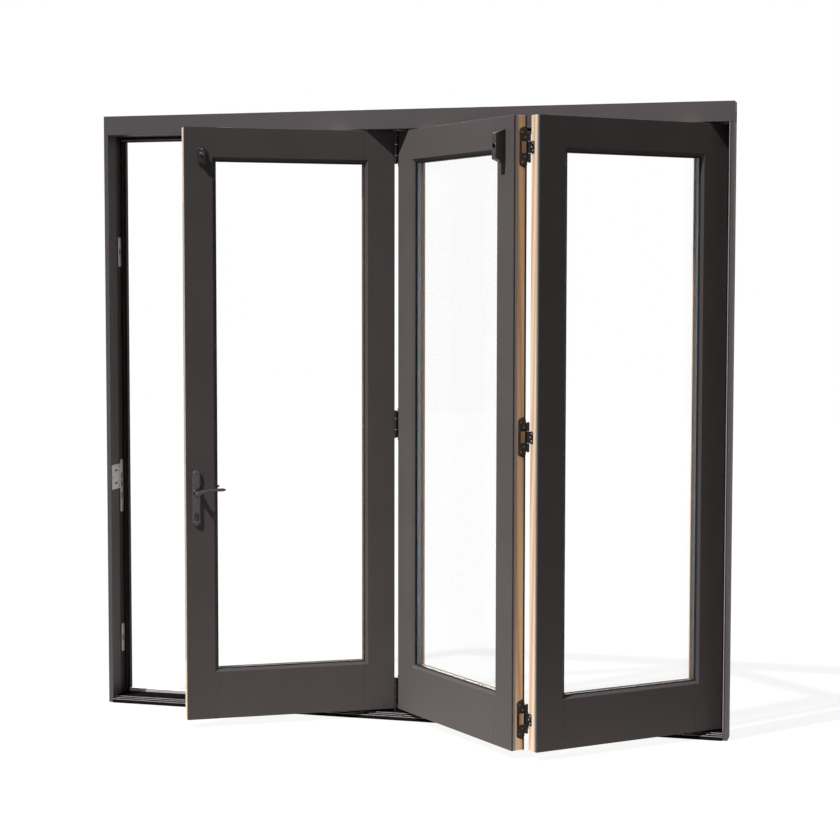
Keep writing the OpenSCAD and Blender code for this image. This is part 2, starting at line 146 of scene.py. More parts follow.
@dataclass(frozen=True)
class Place:
    """A local frame turned about Z: u along it, v into it from its outdoor face, z up.

    Args:
        pin_x: X of the pin it turns on, in millimetres.
        turn: Its angle to the wall in degrees.
        start: Distance from the pin to u = 0.
    """

    pin_x: float
    turn: float
    start: float

    def to_row(self, points: np.ndarray) -> np.ndarray:
        """Moves points from the local frame to the part's frame.

        With a the turn, x = pin + (start + u) cos a - (off + v) sin a, and
        y = pin_y + (start + u) sin a + (off + v) cos a.

        Args:
            points: Rows of u, v, z in millimetres.

        Returns:
            Rows of x, y, z in metres.
        """
        turn = math.radians(self.turn)
        along = points[:, 0] + self.start
        into = points[:, 1] + SIZES.pin_off
        x = self.pin_x + along * math.cos(turn) - into * math.sin(turn)
        y = SIZES.pin_y + along * math.sin(turn) + into * math.cos(turn)
        return np.column_stack([x, y, points[:, 2] + SIZES.leaf_z]) * MM


ACCESS = Place(SIZES.track_pin_x, SIZES.access_angle, -SIZES.leaf_gap / 2 - SIZES.leaf_w)
MIDDLE = Place(SIZES.track_pin_x, -SIZES.fold_angle, SIZES.leaf_gap / 2)
JAMB = Place(SIZES.jamb_pin_x, SIZES.fold_angle, -SIZES.leaf_gap / 2 - SIZES.leaf_w)
EDGE_HINGES = (118, 1195, 2282)
TRACK_HINGES = (76, 1195, 2324)


# Materials

Source = bpy.types.Node | bpy.types.NodeSocket


def linear(colour: str) -> tuple[float, float, float, float]:
    """Turns an sRGB hex colour into linear red, green, blue and alpha.

    Each channel c becomes c / 12.92 up to 0.04045, and ((c + 0.055) / 1.055) ** 2.4 above.

    Args:
        colour: Six hex digits after a hash sign.

    Returns:
        Four linear numbers, the last of them 1.
    """
    parts = [int(colour[i : i + 2], 16) / 255 for i in (1, 3, 5)]
    red, green, blue = (
        c / 12.92 if c <= 0.04045 else ((c + 0.055) / 1.055) ** 2.4 for c in parts
    )
    return red, green, blue, 1.0


def add(
    tree: bpy.types.NodeTree, kind: str, inputs: dict, stops: tuple = (), **settings
) -> bpy.types.Node:
    """Adds a node with its settings, values and links.

    Args:
        tree: The node tree that gets the node.
        kind: The node's type name.
        inputs: For each input, by name or number, a value, an output socket, or a node whose
            first output is meant.
        stops: Pairs of place and linear colour in order, where the node has a colour ramp.
        **settings: Properties of the node itself.

    Returns:
        The new node.
    """
    node = tree.nodes.new(kind)
    for name, value in settings.items():
        setattr(node, name, value)
    for name, value in inputs.items():
        value = value.outputs[0] if isinstance(value, bpy.types.Node) else value
        if isinstance(value, bpy.types.NodeSocket):
            tree.links.new(value, node.inputs[name])
        else:
            node.inputs[name].default_value = value
    for _ in stops[2:]:
        node.color_ramp.elements.new(0.5)
    for number, (place, colour) in enumerate(stops):
        node.color_ramp.elements[number].position = place
        node.color_ramp.elements[number].color = colour
    return node


def new_tree(name: str) -> tuple[bpy.types.Material, bpy.types.NodeTree, bpy.types.NodeSocket]:
    """Makes a material, and gives it with its emptied tree and a socket of Object coordinates."""
    material = bpy.data.materials.new(name)
    material.use_nodes = True
    tree = material.node_tree
    tree.nodes.clear()
    return material, tree, add(tree, "ShaderNodeTexCoord", {}).outputs["Object"]


def per_metre(size_mm: float) -> float:
    """Gives a texture scale from the size of one feature in millimetres."""
    return 1.0 / (size_mm * MM)


def features(place: Source, size_mm: float, detail: float = 2.0) -> dict:
    """Gives the inputs of a noise whose features have this size in millimetres."""
    return {"Vector": place, "Scale": per_metre(size_mm), "Detail": detail}


def along_grain(
    tree: bpy.types.NodeTree, place: Source, turn: float, *stretches: tuple
) -> list[bpy.types.Node]:
    """Turns coordinates about Z, and stretches them for patterns that run one way.

    Args:
        tree: The node tree.
        place: The coordinates.
        turn: The piece's angle to the wall in degrees.
        *stretches: For each pattern, a scale on each axis.

    Returns:
        A node that gives the coordinates for each pattern.
    """
    back = (0.0, 0.0, -math.radians(turn))
    turned = add(tree, "ShaderNodeMapping", {"Vector": place, "Rotation": back})
    return [
        add(tree, "ShaderNodeMapping", {"Vector": turned, "Scale": scale}) for scale in stretches
    ]


def shade(
    tree: bpy.types.NodeTree,
    inputs: dict,
    height: Source | None = None,
    strength: float = 0.2,
    depth_mm: float = 0.0,
) -> None:
    """Ends a tree in a Principled BSDF and an output.

    Args:
        tree: The node tree.
        inputs: The shader's inputs.
        height: What raises the surface, if anything does.
        strength: How much of the bump shows.
        depth_mm: The bump's depth in millimetres.
    """
    if height is not None:
        bump = add(
            tree,
            "ShaderNodeBump",
            {"Strength": strength, "Distance": depth_mm * MM, "Height": height},
        )
        inputs = {**inputs, "Normal": bump}
    surface = add(tree, "ShaderNodeBsdfPrincipled", inputs)
    add(tree, "ShaderNodeOutputMaterial", {"Surface": surface})


def around(factor: Source, middle: float, swing: float) -> dict:
    """Gives the inputs that map a texture's 0.3 to 0.7 to a span around a middle value."""
    span = {"To Min": middle - swing, "To Max": middle + swing}
    return {"Value": factor, "From Min": 0.3, "From Max": 0.7, **span}


def scaled(colour: tuple, share: float) -> tuple[float, float, float, float]:
    """Makes a linear colour lighter or darker by a share."""
    red, green, blue = (min(1.0, c * share) for c in colour[:3])
    return red, green, blue, 1.0


@dataclass(frozen=True)
class PowderCoat:
    """Polyester powder coat baked on aluminium, which gives a satin face with fine orange peel."""

    name: str
    colour: str
    roughness: float = 0.5
    specular: float = 0.08
    peel_mm: float = 4.0
    mottle_mm: float = 320.0
    mottle_depth: float = 0.06
    sheen: float = 0.04
    bump_mm: float = 0.02

    def build(self) -> bpy.types.Material:
        """Makes the material: broad mottling, a fine peel in the bump, and a varied sheen."""
        material, tree, place = new_tree(self.name)
        mottle = add(tree, "ShaderNodeTexNoise", features(place, self.mottle_mm, 3.0))
        peel = add(tree, "ShaderNodeTexNoise", features(place, self.peel_mm))
        base, depth = linear(self.colour), self.mottle_depth
        stops = ((0.3, scaled(base, 1 - depth)), (0.7, scaled(base, 1 + depth)))
        tone = add(tree, "ShaderNodeValToRGB", {"Fac": mottle}, stops)
        sheen = add(tree, "ShaderNodeMapRange", around(mottle, self.roughness, self.sheen))
        inputs = {
            "Base Color": tone,
            "Roughness": sheen,
            "Specular IOR Level": self.specular,
        }
        shade(tree, inputs, peel, 0.25, self.bump_mm)
        return material


@dataclass(frozen=True)
class ClearTimber:
    """Clear-finished softwood, with soft rings and fine fibres along the board."""

    name: str
    early: str
    late: str
    turn: float
    grain: Grain
    ring_mm: float = 9.0
    fibre_mm: float = 1.6
    roughness: float = 0.5
    sheen: float = 0.06
    bump_mm: float = 0.05

    def build(self) -> bpy.types.Material:
        """Makes the material: bands along the board, bent by noise, with fibres over them."""
        material, tree, place = new_tree(self.name)
        upright = self.grain is Grain.UPRIGHT
        ring_stretch = (1.0, 1.0, 0.03) if upright else (0.03, 1.0, 1.0)
        fibre_stretch = (1.0, 1.0, 0.02) if upright else (0.02, 1.0, 1.0)
        rings_at, fibres_at = along_grain(tree, place, self.turn, ring_stretch, fibre_stretch)
        rings = add(
            tree,
            "ShaderNodeTexWave",
            {
                "Vector": rings_at,
                "Scale": per_metre(self.ring_mm) / 6.28,
                "Distortion": 7.0,
                "Detail": 2.0,
                "Detail Scale": 0.6,
            },
            wave_type="BANDS",
            bands_direction="DIAGONAL",
        )
        fibres = add(tree, "ShaderNodeTexNoise", features(fibres_at, self.fibre_mm, 3.0))
        blend = add(
            tree,
            "ShaderNodeMix",
            {"Factor": 0.35, "A": rings.outputs["Fac"], "B": fibres},
            data_type="FLOAT",
        )
        early, late = linear(self.early), linear(self.late)
        stops = ((0.15, late), (0.55, early), (0.9, scaled(early, 1.05)))
        tone = add(tree, "ShaderNodeValToRGB", {"Fac": blend}, stops)
        sheen = add(tree, "ShaderNodeMapRange", around(fibres, self.roughness, self.sheen))
        inputs = {
            "Base Color": tone,
            "Roughness": sheen,
            "Specular IOR Level": 0.35,
        }
        shade(tree, inputs, fibres, 0.3, self.bump_mm)
        return material


@dataclass(frozen=True)
class FloatGlass:
    """Clear float glass, which shows a faint green only through its edges."""

    name: str = "clear float glass"
    tint: str = "#fdfefe"
    haze_mm: float = 180.0
    roughness: float = 0.002
    alpha: float = 0.025

    def build(self) -> bpy.types.Material:
        """Makes the material: full transmission with a trace of cloudy haze from cleaning.

        The low alpha lets lamps shine through the panes, as they do through real clear glass.
        """
        material, tree, place = new_tree(self.name)
        haze = add(tree, "ShaderNodeTexNoise", features(place, self.haze_mm))
        sheen = add(tree, "ShaderNodeMapRange", around(haze, self.roughness, self.roughness))
        inputs = {
            "Base Color": linear(self.tint),
            "Roughness": sheen,
            "IOR": 1.5,
            "Transmission Weight": 1.0,
            "Alpha": self.alpha,
        }
        shade(tree, inputs)
        return material


@dataclass(frozen=True)
class DrawnMetal:
    """Bare or anodised metal with fine streaks along one way, from drawing or brushing."""

    name: str
    colour: str
    roughness: float
    streak: tuple[float, float, float] = (0.02, 1.0, 1.0)
    turn: float = 0.0
    streak_mm: float = 1.5
    metallic: float = 1.0
    specular: float = 0.5
    depth: float = 0.12
    sheen: float = 0.05

    def build(self) -> bpy.types.Material:
        """Makes the material: noise stretched along the streaks, in colour and sheen."""
        material, tree, place = new_tree(self.name)
        (along,) = along_grain(tree, place, self.turn, self.streak)
        streaks = add(tree, "ShaderNodeTexNoise", features(along, self.streak_mm))
        base = linear(self.colour)
        stops = ((0.3, scaled(base, 1 - self.depth)), (0.7, scaled(base, 1 + self.depth)))
        tone = add(tree, "ShaderNodeValToRGB", {"Fac": streaks}, stops)
        sheen = add(tree, "ShaderNodeMapRange", around(streaks, self.roughness, self.sheen))
        inputs = {
            "Base Color": tone,
            "Metallic": self.metallic,
            "Roughness": sheen,
            "Specular IOR Level": self.specular,
        }
        shade(tree, inputs)
        return material


@dataclass(frozen=True)
class CoatedSteel:
    """Steel or zinc under a thin dark coat, a little rubbed where it is handled."""

    name: str
    colour: str
    rubbed: str
    roughness: float = 0.38
    specular: float = 0.4
    patch_mm: float = 22.0
    grain_mm: float = 1.2
    sheen: float = 0.05
    bump_mm: float = 0.03

    def build(self) -> bpy.types.Material:
        """Makes the material: two tones in soft patches, and a fine cast grain in the bump."""
        material, tree, place = new_tree(self.name)
        patches = add(tree, "ShaderNodeTexNoise", features(place, self.patch_mm, 4.0))
        grain = add(tree, "ShaderNodeTexNoise", features(place, self.grain_mm, 1.0))
        stops = ((0.35, linear(self.colour)), (0.75, linear(self.rubbed)))
        tone = add(tree, "ShaderNodeValToRGB", {"Fac": patches}, stops)
        sheen = add(tree, "ShaderNodeMapRange", around(patches, self.roughness, -self.sheen))
        inputs = {
            "Base Color": tone,
            "Roughness": sheen,
            "Specular IOR Level": self.specular,
        }
        shade(tree, inputs, grain, 0.2, self.bump_mm)
        return material


@dataclass(frozen=True)
class SealRubber:
    """Extruded EPDM rubber, matt black with a faint bloom."""

    name: str = "extruded rubber seal"
    colour: str = "#1b1a1a"
    bloom: str = "#2a2928"
    bloom_mm: float = 40.0
    skin_mm: float = 1.0
    bump_mm: float = 0.04

    def build(self) -> bpy.types.Material:
        """Makes the material: a cloudy bloom over black, with a fine skin in the bump."""
        material, tree, place = new_tree(self.name)
        bloom = add(tree, "ShaderNodeTexNoise", features(place, self.bloom_mm, 3.0))
        skin = add(tree, "ShaderNodeTexNoise", features(place, self.skin_mm))
        stops = ((0.35, linear(self.colour)), (0.75, linear(self.bloom)))
        tone = add(tree, "ShaderNodeValToRGB", {"Fac": bloom}, stops)
        inputs = {
            "Base Color": tone,
            "Roughness": 0.75,
            "Specular IOR Level": 0.2,
        }
        shade(tree, inputs, skin, 0.2, self.bump_mm)
        return material


FRAME_COAT = PowderCoat("satin bronze-grey powder coat on the frame", "#5d585b")
LEAF_COAT = PowderCoat("satin bronze-grey powder coat on the leaves", "#5a5554")
FRAME_PAINT = PowderCoat("satin dark paint on timber", "#2e2a29", 0.5, 0.08, 6.0)
GLASS = FloatGlass()
SPACER = DrawnMetal("satin spacer aluminium", "#7a838b", 0.45, (1.0, 1.0, 0.05), 0.0, 2.0)
TRACK = DrawnMetal("bronze anodised track", "#57504c", 0.5, metallic=0.2)
# Near-black sill: dark bronze anodising, darkened further as painted shade in the grooves between
# the ribs.
SILL = DrawnMetal("sill in dark anodising and painted groove shade", "#1b1718", 0.6, metallic=0.0, specular=0.0)
SILL_STRIP = DrawnMetal("mill finish sill strip", "#cfcbcc", 0.5, metallic=0.3)
# Light colour of the sill's rib tops: a painted highlight where the sun strikes them.
PAINTED_RIB_HIGHLIGHT = DrawnMetal("rib tops painted light where the sun strikes", "#a9a3a7", 0.55, metallic=0.0, specular=0.1)
# Pale colour of thin strips that are painted highlights along lit cladding edges and under the
# head.
PAINTED_EDGE_HIGHLIGHT = DrawnMetal("pale strips painted as lit edges", "#a39b97", 0.55, (1.0, 1.0, 0.05), metallic=0.1)
RUBBER = SealRubber()
HINGE_BLACK = CoatedSteel("black coated hinge steel", "#191617", "#2a2625", specular=0.3)
BRONZE = CoatedSteel("oil-rubbed bronze coat", "#2e292a", "#403a3c", 0.22, 0.7)
CATCH_BLACK = CoatedSteel("black coated catch", "#1d191b", "#2a2527", 0.36, 0.35)
RECEIVER_GREY = CoatedSteel("bronze-grey coated catch", "#3a3435", "#4a4445", 0.4, 0.3)
STEEL = DrawnMetal("brushed stainless steel", "#a9a7aa", 0.42, (1.0, 1.0, 0.05), metallic=0.7)
STRIKE_STEEL = DrawnMetal(
    "satin stainless steel keeps", "#b9b6b7", 0.4, (1.0, 1.0, 0.05), metallic=0.35
)
DARK_STEEL = CoatedSteel("dark plated steel", "#1f1c1c", "#2b2827", 0.4, 0.3)
SCREW_BLACK = CoatedSteel("black plated screw steel", "#3d393a", "#6b6668", 0.25, 0.8)
# A lighter copy of the screw steel: its lightness is painted glints where screws catch the light.
SCREW_GLINT = CoatedSteel("screw steel painted light as glints", "#7c787a", "#b5b1b2", 0.3, 0.6)
# Dark timber colour that is painted shade in the routed hinge recesses.
PAINTED_RECESS_SHADE = CoatedSteel("timber painted dark as shade in the hinge recesses", "#4a3424", "#664832", 0.6, 0.1)


class Palette:
    """Builds each finish once and hands the same material to every piece."""

    def __init__(self) -> None:
        """Starts with no material."""
        self.made: dict = {}

    def get(self, finish: object) -> bpy.types.Material:
        """Returns the finish's material, made on first use."""
        if finish not in self.made:
            self.made[finish] = finish.build()
        return self.made[finish]


PALETTE = Palette()


# Making pieces


def merged(points: np.ndarray, faces: np.ndarray) -> tuple[np.ndarray, np.ndarray]:
    """Merges points that lie within a hundredth of a millimetre.

    Args:
        points: Rows of x, y, z in metres.
        faces: Rows of three point numbers.

    Returns:
        The kept points, and the faces that still have three different corners.
    """
    keys = np.round(points * 1e5).astype(np.int64)
    _, first, inverse = np.unique(keys, axis=0, return_index=True, return_inverse=True)
    faces = inverse.reshape(-1)[faces]
    open_face = (
        (faces[:, 0] != faces[:, 1]) & (faces[:, 1] != faces[:, 2]) & (faces[:, 2] != faces[:, 0])
    )
    return points[first], faces[open_face]


def finish_piece(
    name: str, mesh: bpy.types.Mesh, finish: object, body: Body = Body.DOOR
) -> bpy.types.Object:
    """Turns a mesh into a piece that rides on a body in its finish.

    Args:
        name: The piece's name.
        mesh: Its mesh, in the part's frame.
        finish: The finish it wears.
        body: What it moves with.

    Returns:
        The piece.
    """
    piece = bpy.data.objects.new(name, mesh)
    bpy.context.scene.collection.objects.link(piece)
    mesh.materials.clear()
    mesh.materials.append(PALETTE.get(finish))
    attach(piece, body.value)
    LOG.info("%s: %d faces, rides on %s", name, len(mesh.polygons), body.value)
    return piece


def ease(piece: bpy.types.Object, width_mm: float, segments: int = 2) -> None:
    """Rounds a piece's sharp edges with a live bevel of this width."""
    bevel = piece.modifiers.new("eased edges", "BEVEL")
    bevel.width = width_mm * MM
    bevel.segments = segments
    bevel.limit_method = "ANGLE"
    bevel.angle_limit = math.radians(35)
    bevel.use_clamp_overlap = True
    bevel.harden_normals = True


def eased_node(
    node: str, width_mm: float, finish: object, body: Body = Body.DOOR
) -> bpy.types.Object:
    """Makes a piece from a CAD node's shape, with its flat faces whole and its edges eased.

    Args:
        node: The CAD node, which the piece then stands for.
        width_mm: Width of the rounding.
        finish: The finish it wears.
        body: What it moves with.

    Returns:
        The piece.
    """
    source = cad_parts[node].data
    source.calc_loop_triangles()
    points = np.empty(len(source.vertices) * 3)
    source.vertices.foreach_get("co", points)
    faces = np.empty(len(source.loop_triangles) * 3, dtype=np.int32)
    source.loop_triangles.foreach_get("vertices", faces)
    points, faces = merged(points.reshape(-1, 3), faces.reshape(-1, 3))
    mesh = bpy.data.meshes.new(node + "_eased")
    mesh.from_pydata(points.tolist(), [], faces.tolist())
    work = bmesh.new()
    work.from_mesh(mesh)
    bmesh.ops.dissolve_limit(
        work, angle_limit=math.radians(0.5), verts=work.verts[:], edges=work.edges[:]
    )
    work.to_mesh(mesh)
    work.free()
    mesh.polygons.foreach_set("use_smooth", np.ones(len(mesh.polygons), dtype=bool))
    mesh.update()
    piece = finish_piece(node + "_eased", mesh, finish, body)
    ease(piece, width_mm)
    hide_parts(node)
    return piece


def dress(node: str, finish: object) -> None:
    """Gives a CAD node that keeps its own shape a better material."""
    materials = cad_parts[node].data.materials
    materials.clear()
    materials.append(PALETTE.get(finish))
    LOG.info("%s: keeps its shape", node)


# Surfaces


def unit(vectors: np.ndarray) -> np.ndarray:
    """Scales vectors to length one."""
    return vectors / np.linalg.norm(vectors, axis=-1, keepdims=True)


def rounded(corners: list, radii: list, steps: int = 5) -> np.ndarray:
    """Rounds each corner of a flat outline with an arc.

    With a and b the unit vectors from the corner to its neighbours and h half the angle
    between them, the arc's centre lies r / sin h along their bisector. The arc turns about it
    from one tangent point to the other, r / tan h from the corner.

    Args:
        corners: Pairs of x, y in order around the outline.
        radii: A radius over zero for each corner.
        steps: Spans of each arc.

    Returns:
        Rows of x, y.
    """
    corner = np.array(corners, dtype=float)
    radius = np.array(radii, dtype=float)[:, None]
    before = unit(np.roll(corner, 1, axis=0) - corner)
    after = unit(np.roll(corner, -1, axis=0) - corner)
    half = np.arccos(np.clip((before * after).sum(axis=1, keepdims=True), -1, 1)) / 2
    centre = corner + unit(before + after) * radius / np.sin(half)
    first = corner + before * radius / np.tan(half) - centre
    last = corner + after * radius / np.tan(half) - centre
    turn = (math.pi - 2 * half)[:, None]
    share = np.linspace(0, 1, steps + 1)[None, :, None]
    arc = np.sin((1 - share) * turn) * first[:, None] + np.sin(share * turn) * last[:, None]
    return (centre[:, None] + arc / np.sin(turn)).reshape(-1, 2)


def rounded_box(width: float, low: float, high: float, radius: float) -> np.ndarray:
    """Outlines an upright box with rounded corners, centred on x = 0."""
    half = width / 2
    corners = [(-half, low), (half, low), (half, high), (-half, high)]
    return rounded(corners, [min(radius, half - 0.01)] * 4)


def inset(outline: np.ndarray, depth: float) -> np.ndarray:
    """Moves an outline that runs counter-clockwise inward, square to its run at each point."""
    run = unit(np.roll(outline, -1, axis=0) - np.roll(outline, 1, axis=0))
    return outline + np.column_stack([-run[:, 1], run[:, 0]]) * depth


def circle(radius: float, count: int = 20, x: float = 0, y: float = 0) -> np.ndarray:
    """Outlines a circle counter-clockwise: x + r cos t, y + r sin t."""
    turn = np.linspace(0, 2 * math.pi, count, endpoint=False)
    return np.column_stack([x + radius * np.cos(turn), y + radius * np.sin(turn)])


def strip(width: float, thickness: float) -> np.ndarray:
    """Outlines a flat strip from its corner at 0, 0."""
    return np.array([(0, 0), (width, 0), (width, thickness), (0, thickness)])


def eased_between(knots: list, places: np.ndarray) -> np.ndarray:
    """Joins knots by S-curves: 3 t t - 2 t t t of the way from one knot's value to the next.

    Args:
        knots: Pairs of place and value, in order.
        places: Where the curve is wanted.

    Returns:
        A value for each place.
    """
    at, value = np.array(knots, dtype=float).T
    span = np.clip(np.searchsorted(at, places, side="right") - 1, 0, len(at) - 2)
    share = np.clip((places - at[span]) / (at[span + 1] - at[span]), 0, 1)
    return value[span] + (value[span + 1] - value[span]) * share**2 * (3 - 2 * share)


@dataclass(frozen=True)
class Axes:
    """Where a drawing lies: its origin, and the ways that its x, y and height run."""

    at: tuple
    right: tuple
    up: tuple
    out: tuple

    def lay(self, points: np.ndarray) -> np.ndarray:
        """Gives at + x right + y up + height out for each point."""
        ways = np.array([self.right, self.up, self.out], dtype=float)
        return np.array(self.at, dtype=float) + points @ ways


def on_edge(x: float, y: float, z: float) -> Axes:
    """Gives the axes of a drawing that is seen along x, with y to its right and z up."""
    return Axes((x, y, z), (0, 1, 0), (0, 0, 1), (1, 0, 0))


@dataclass(frozen=True)
class WholeFrame:
    """The part's own axes, in millimetres."""

    def to_row(self, points: np.ndarray) -> np.ndarray:
        """Turns millimetres into metres."""
        return points * MM


@dataclass(frozen=True)
class LeafEdge:
    """A leaf's edge: x out of the edge, y toward the hinge pin, z up.

    Args:
        place: The leaf's own frame.
        u: The edge's place along the leaf.
        v: The depth of the face that the pin stands beyond.
        u_way: 1 or -1, the way out of the edge.
        v_way: 1 or -1, the way toward the pin.
    """

    place: Place
    u: float
    v: float
    u_way: int
    v_way: int

    def to_row(self, points: np.ndarray) -> np.ndarray:
        """Moves points to the leaf's frame, and from there to the part's frame."""
        turned = np.column_stack(
            [self.u + self.u_way * points[:, 0], self.v + self.v_way * points[:, 1], points[:, 2]]
        )
        return self.place.to_row(turned)


class Shells:
    """Closed shells gathered into one mesh, each drawn in millimetres in a place's frame."""

    def __init__(self, place: object) -> None:
        """Starts empty, in this place."""
        self.place = place
        self.points: list = []
        self.faces: list = []
        self.count = 0

    def put(self, points: np.ndarray, faces: list) -> None:
        """Adds points in the place's frame, and faces that number them from zero."""
        self.points.append(self.place.to_row(points.reshape(-1, 3)))
        self.faces += [[self.count + number for number in face] for face in faces]
        self.count += points.size // 3

    def loft(self, rings: np.ndarray, closed: bool = False) -> None:
        """Joins rings of points by four-sided faces.

        Args:
            rings: A grid of points, one ring to a row, shape (rings, points, 3).
            closed: Whether the last ring joins the first. If not, the ends are capped.
        """
        rows, cols = rings.shape[:2]
        row, col = np.meshgrid(
            np.arange(rows if closed else rows - 1), np.arange(cols), indexing="ij"
        )
        below, beside = (row + 1) % rows, (col + 1) % cols
        corners = [row * cols + col, below * cols + col, below * cols + beside, row * cols + beside]
        faces = np.stack(corners, axis=-1).reshape(-1, 4).tolist()
        if not closed:
            faces.append(list(range(cols))[::-1])
            faces.append(list(range((rows - 1) * cols, rows * cols)))
        self.put(rings, faces)

    def turned(self, axes: Axes, profile: list, count: int = 28, ring: bool = False) -> None:
        """Turns a profile about its axis: r cos t, r sin t, height.

        Args:
            axes: Where the axis starts and the way out along it.
            profile: Pairs of radius and height, from one end to the other.
            count: Points around.
            ring: Whether the profile is closed and leaves a hole along the axis.
        """
        radius, height = np.array(profile, dtype=float).T
        rings = np.empty((len(radius), count, 3))
        rings[:, :, :2] = radius[:, None, None] * circle(1.0, count)[None]
        rings[:, :, 2] = height[:, None]
        self.loft(axes.lay(rings), closed=ring)

    def plate(
        self, axes: Axes, outline: np.ndarray, thickness: float, edge: float, holes: tuple = ()
    ) -> None:
        """Makes a plate with a rounded front edge and clean holes.

        The front edge follows a quarter circle: at turn t, the outline is inset by
        edge (1 - cos t) at height thickness - edge (1 - sin t).

        Args:
            axes: Where the plate lies.
            outline: Its outline, counter-clockwise.
            thickness: Its thickness.
            edge: Radius of the front edge.
            holes: Outlines of holes, clockwise or not.
        """
        bends = np.linspace(0, math.pi / 2, 4)
        levels = [(0.0, 0.0)]
        levels += [(edge * (1 - math.cos(t)), thickness - edge * (1 - math.sin(t))) for t in bends]
        walls = [np.column_stack([inset(outline, d), np.full(len(outline), h)]) for d, h in levels]
        points, faces, start = list(walls), [], len(walls) * len(outline)
        for level in range(len(walls) - 1):
            faces += ring_faces(level * len(outline), (level + 1) * len(outline), len(outline))
        bottom = [list(range(len(outline)))]
        top = [list(range(start - len(outline), start))]
        for hole in holes:
            for height in (0.0, thickness):
                points.append(np.column_stack([hole, np.full(len(hole), height)]))
            faces += ring_faces(start, start + len(hole), len(hole))
            bottom.append(list(range(start, start + len(hole))))
            top.append(list(range(start + len(hole), start + 2 * len(hole))))
            start += 2 * len(hole)
        stacked = np.concatenate(points)
        for loops in (bottom, top):
            numbers = [number for loop in loops for number in loop]
            flat = [[Vector(stacked[number]) for number in loop] for loop in loops]
            faces += [[numbers[i] for i in face] for face in tessellate_polygon(flat)]
        self.put(axes.lay(stacked), faces)

    def screw(self, axes: Axes, radius: float) -> None:
        """Makes a low domed screw head with a crossed recess.

        On rings of radius r, the height is 0.45 R sqrt(1 - (r / R)(r / R)), less 0.3 R where
        the nearer of |x| and |y| is under 0.14 R and r is under 0.62 R.

        Args:
            axes: The head's middle and the way out of the surface.
            radius: The head's radius R.
        """
        share = np.array([0.04, 0.16, 0.3, 0.46, 0.6, 0.66, 0.8, 0.92, 1.0])
        ring = circle(1.0, 24)
        rings = np.empty((len(share) + 1, 24, 3))
        flat = share[:, None, None] * ring[None]
        rings[:-1, :, :2] = radius * flat
        near_arm = np.abs(flat).min(axis=2) < 0.14
        recess = near_arm & (share[:, None] < 0.62)
        dome = 0.45 * radius * np.sqrt(1 - share**2)
        rings[:-1, :, 2] = dome[:, None] - 0.3 * radius * recess
        rings[-1, :, :2] = radius * ring
        rings[-1, :, 2] = -0.05 * radius
        self.loft(axes.lay(rings))

    def bar(self, axes: Axes, profile: np.ndarray, length: float) -> None:
        """Carries a flat profile straight along the axes' height."""
        ends = [np.column_stack([profile, np.full(len(profile), z)]) for z in (0.0, length)]
        self.loft(axes.lay(np.array(ends)))

    def picture_frame(self, profile: list, low: tuple, high: tuple) -> None:
        """Carries a profile around an upright rectangle, mitred at its corners.

        A profile point of inset d and depth v gives the corners (low u + d, v, low z + d),
        (high u - d, v, low z + d), and so on around.

        Args:
            profile: Pairs of inset and depth.
            low: The rectangle's low u and z.
            high: Its high u and z.
        """
        d, v = np.array(profile, dtype=float).T
        u0, z0, u1, z1 = low[0] + d, low[1] + d, high[0] - d, high[1] - d
        corners = [(u0, v, z0), (u1, v, z0), (u1, v, z1), (u0, v, z1)]
        self.loft(np.array([np.column_stack(corner) for corner in corners]), closed=True)

    def to_piece(
        self, name: str, finish: object, slot: str, body: Body = Body.DOOR
    ) -> bpy.types.Object:
        """Closes the mesh with its faces outward and its creases sharp, and finishes it."""
        mesh = bpy.data.meshes.new(name)
        mesh.from_pydata(np.concatenate(self.points).tolist(), [], self.faces)
        work = bmesh.new()
        work.from_mesh(mesh)
        bmesh.ops.remove_doubles(work, verts=work.verts[:], dist=1e-6)
        bmesh.ops.recalc_face_normals(work, faces=work.faces[:])
        work.to_mesh(mesh)
        work.free()
        mesh.polygons.foreach_set("use_smooth", np.ones(len(mesh.polygons), dtype=bool))
        mesh.set_sharp_from_angle(angle=math.radians(32))
        return finish_piece(name, mesh, finish, body)


def ring_faces(first: int, second: int, count: int) -> list:
    """Joins two rings of equal count, given their first points' numbers."""
    number = np.arange(count)
    after = (number + 1) % count
    corners = [first + number, second + number, second + after, first + after]
    return np.column_stack(corners).tolist()


def bulb(width: float, height: float, count: int = 9) -> np.ndarray:
    """Outlines a seal's bulb on a flat foot: half an ellipse on y = 0, with its edges tucked in."""
    turn = np.linspace(0, math.pi, count)
    foot = [(-width / 2 + 0.3, 0.0), (width / 2 - 0.3, 0.0)]
    arc = np.column_stack([width / 2 * np.cos(turn), 0.8 + (height - 0.8) * np.sin(turn)])
    return np.concatenate([foot, arc])


# Sub-assemblies


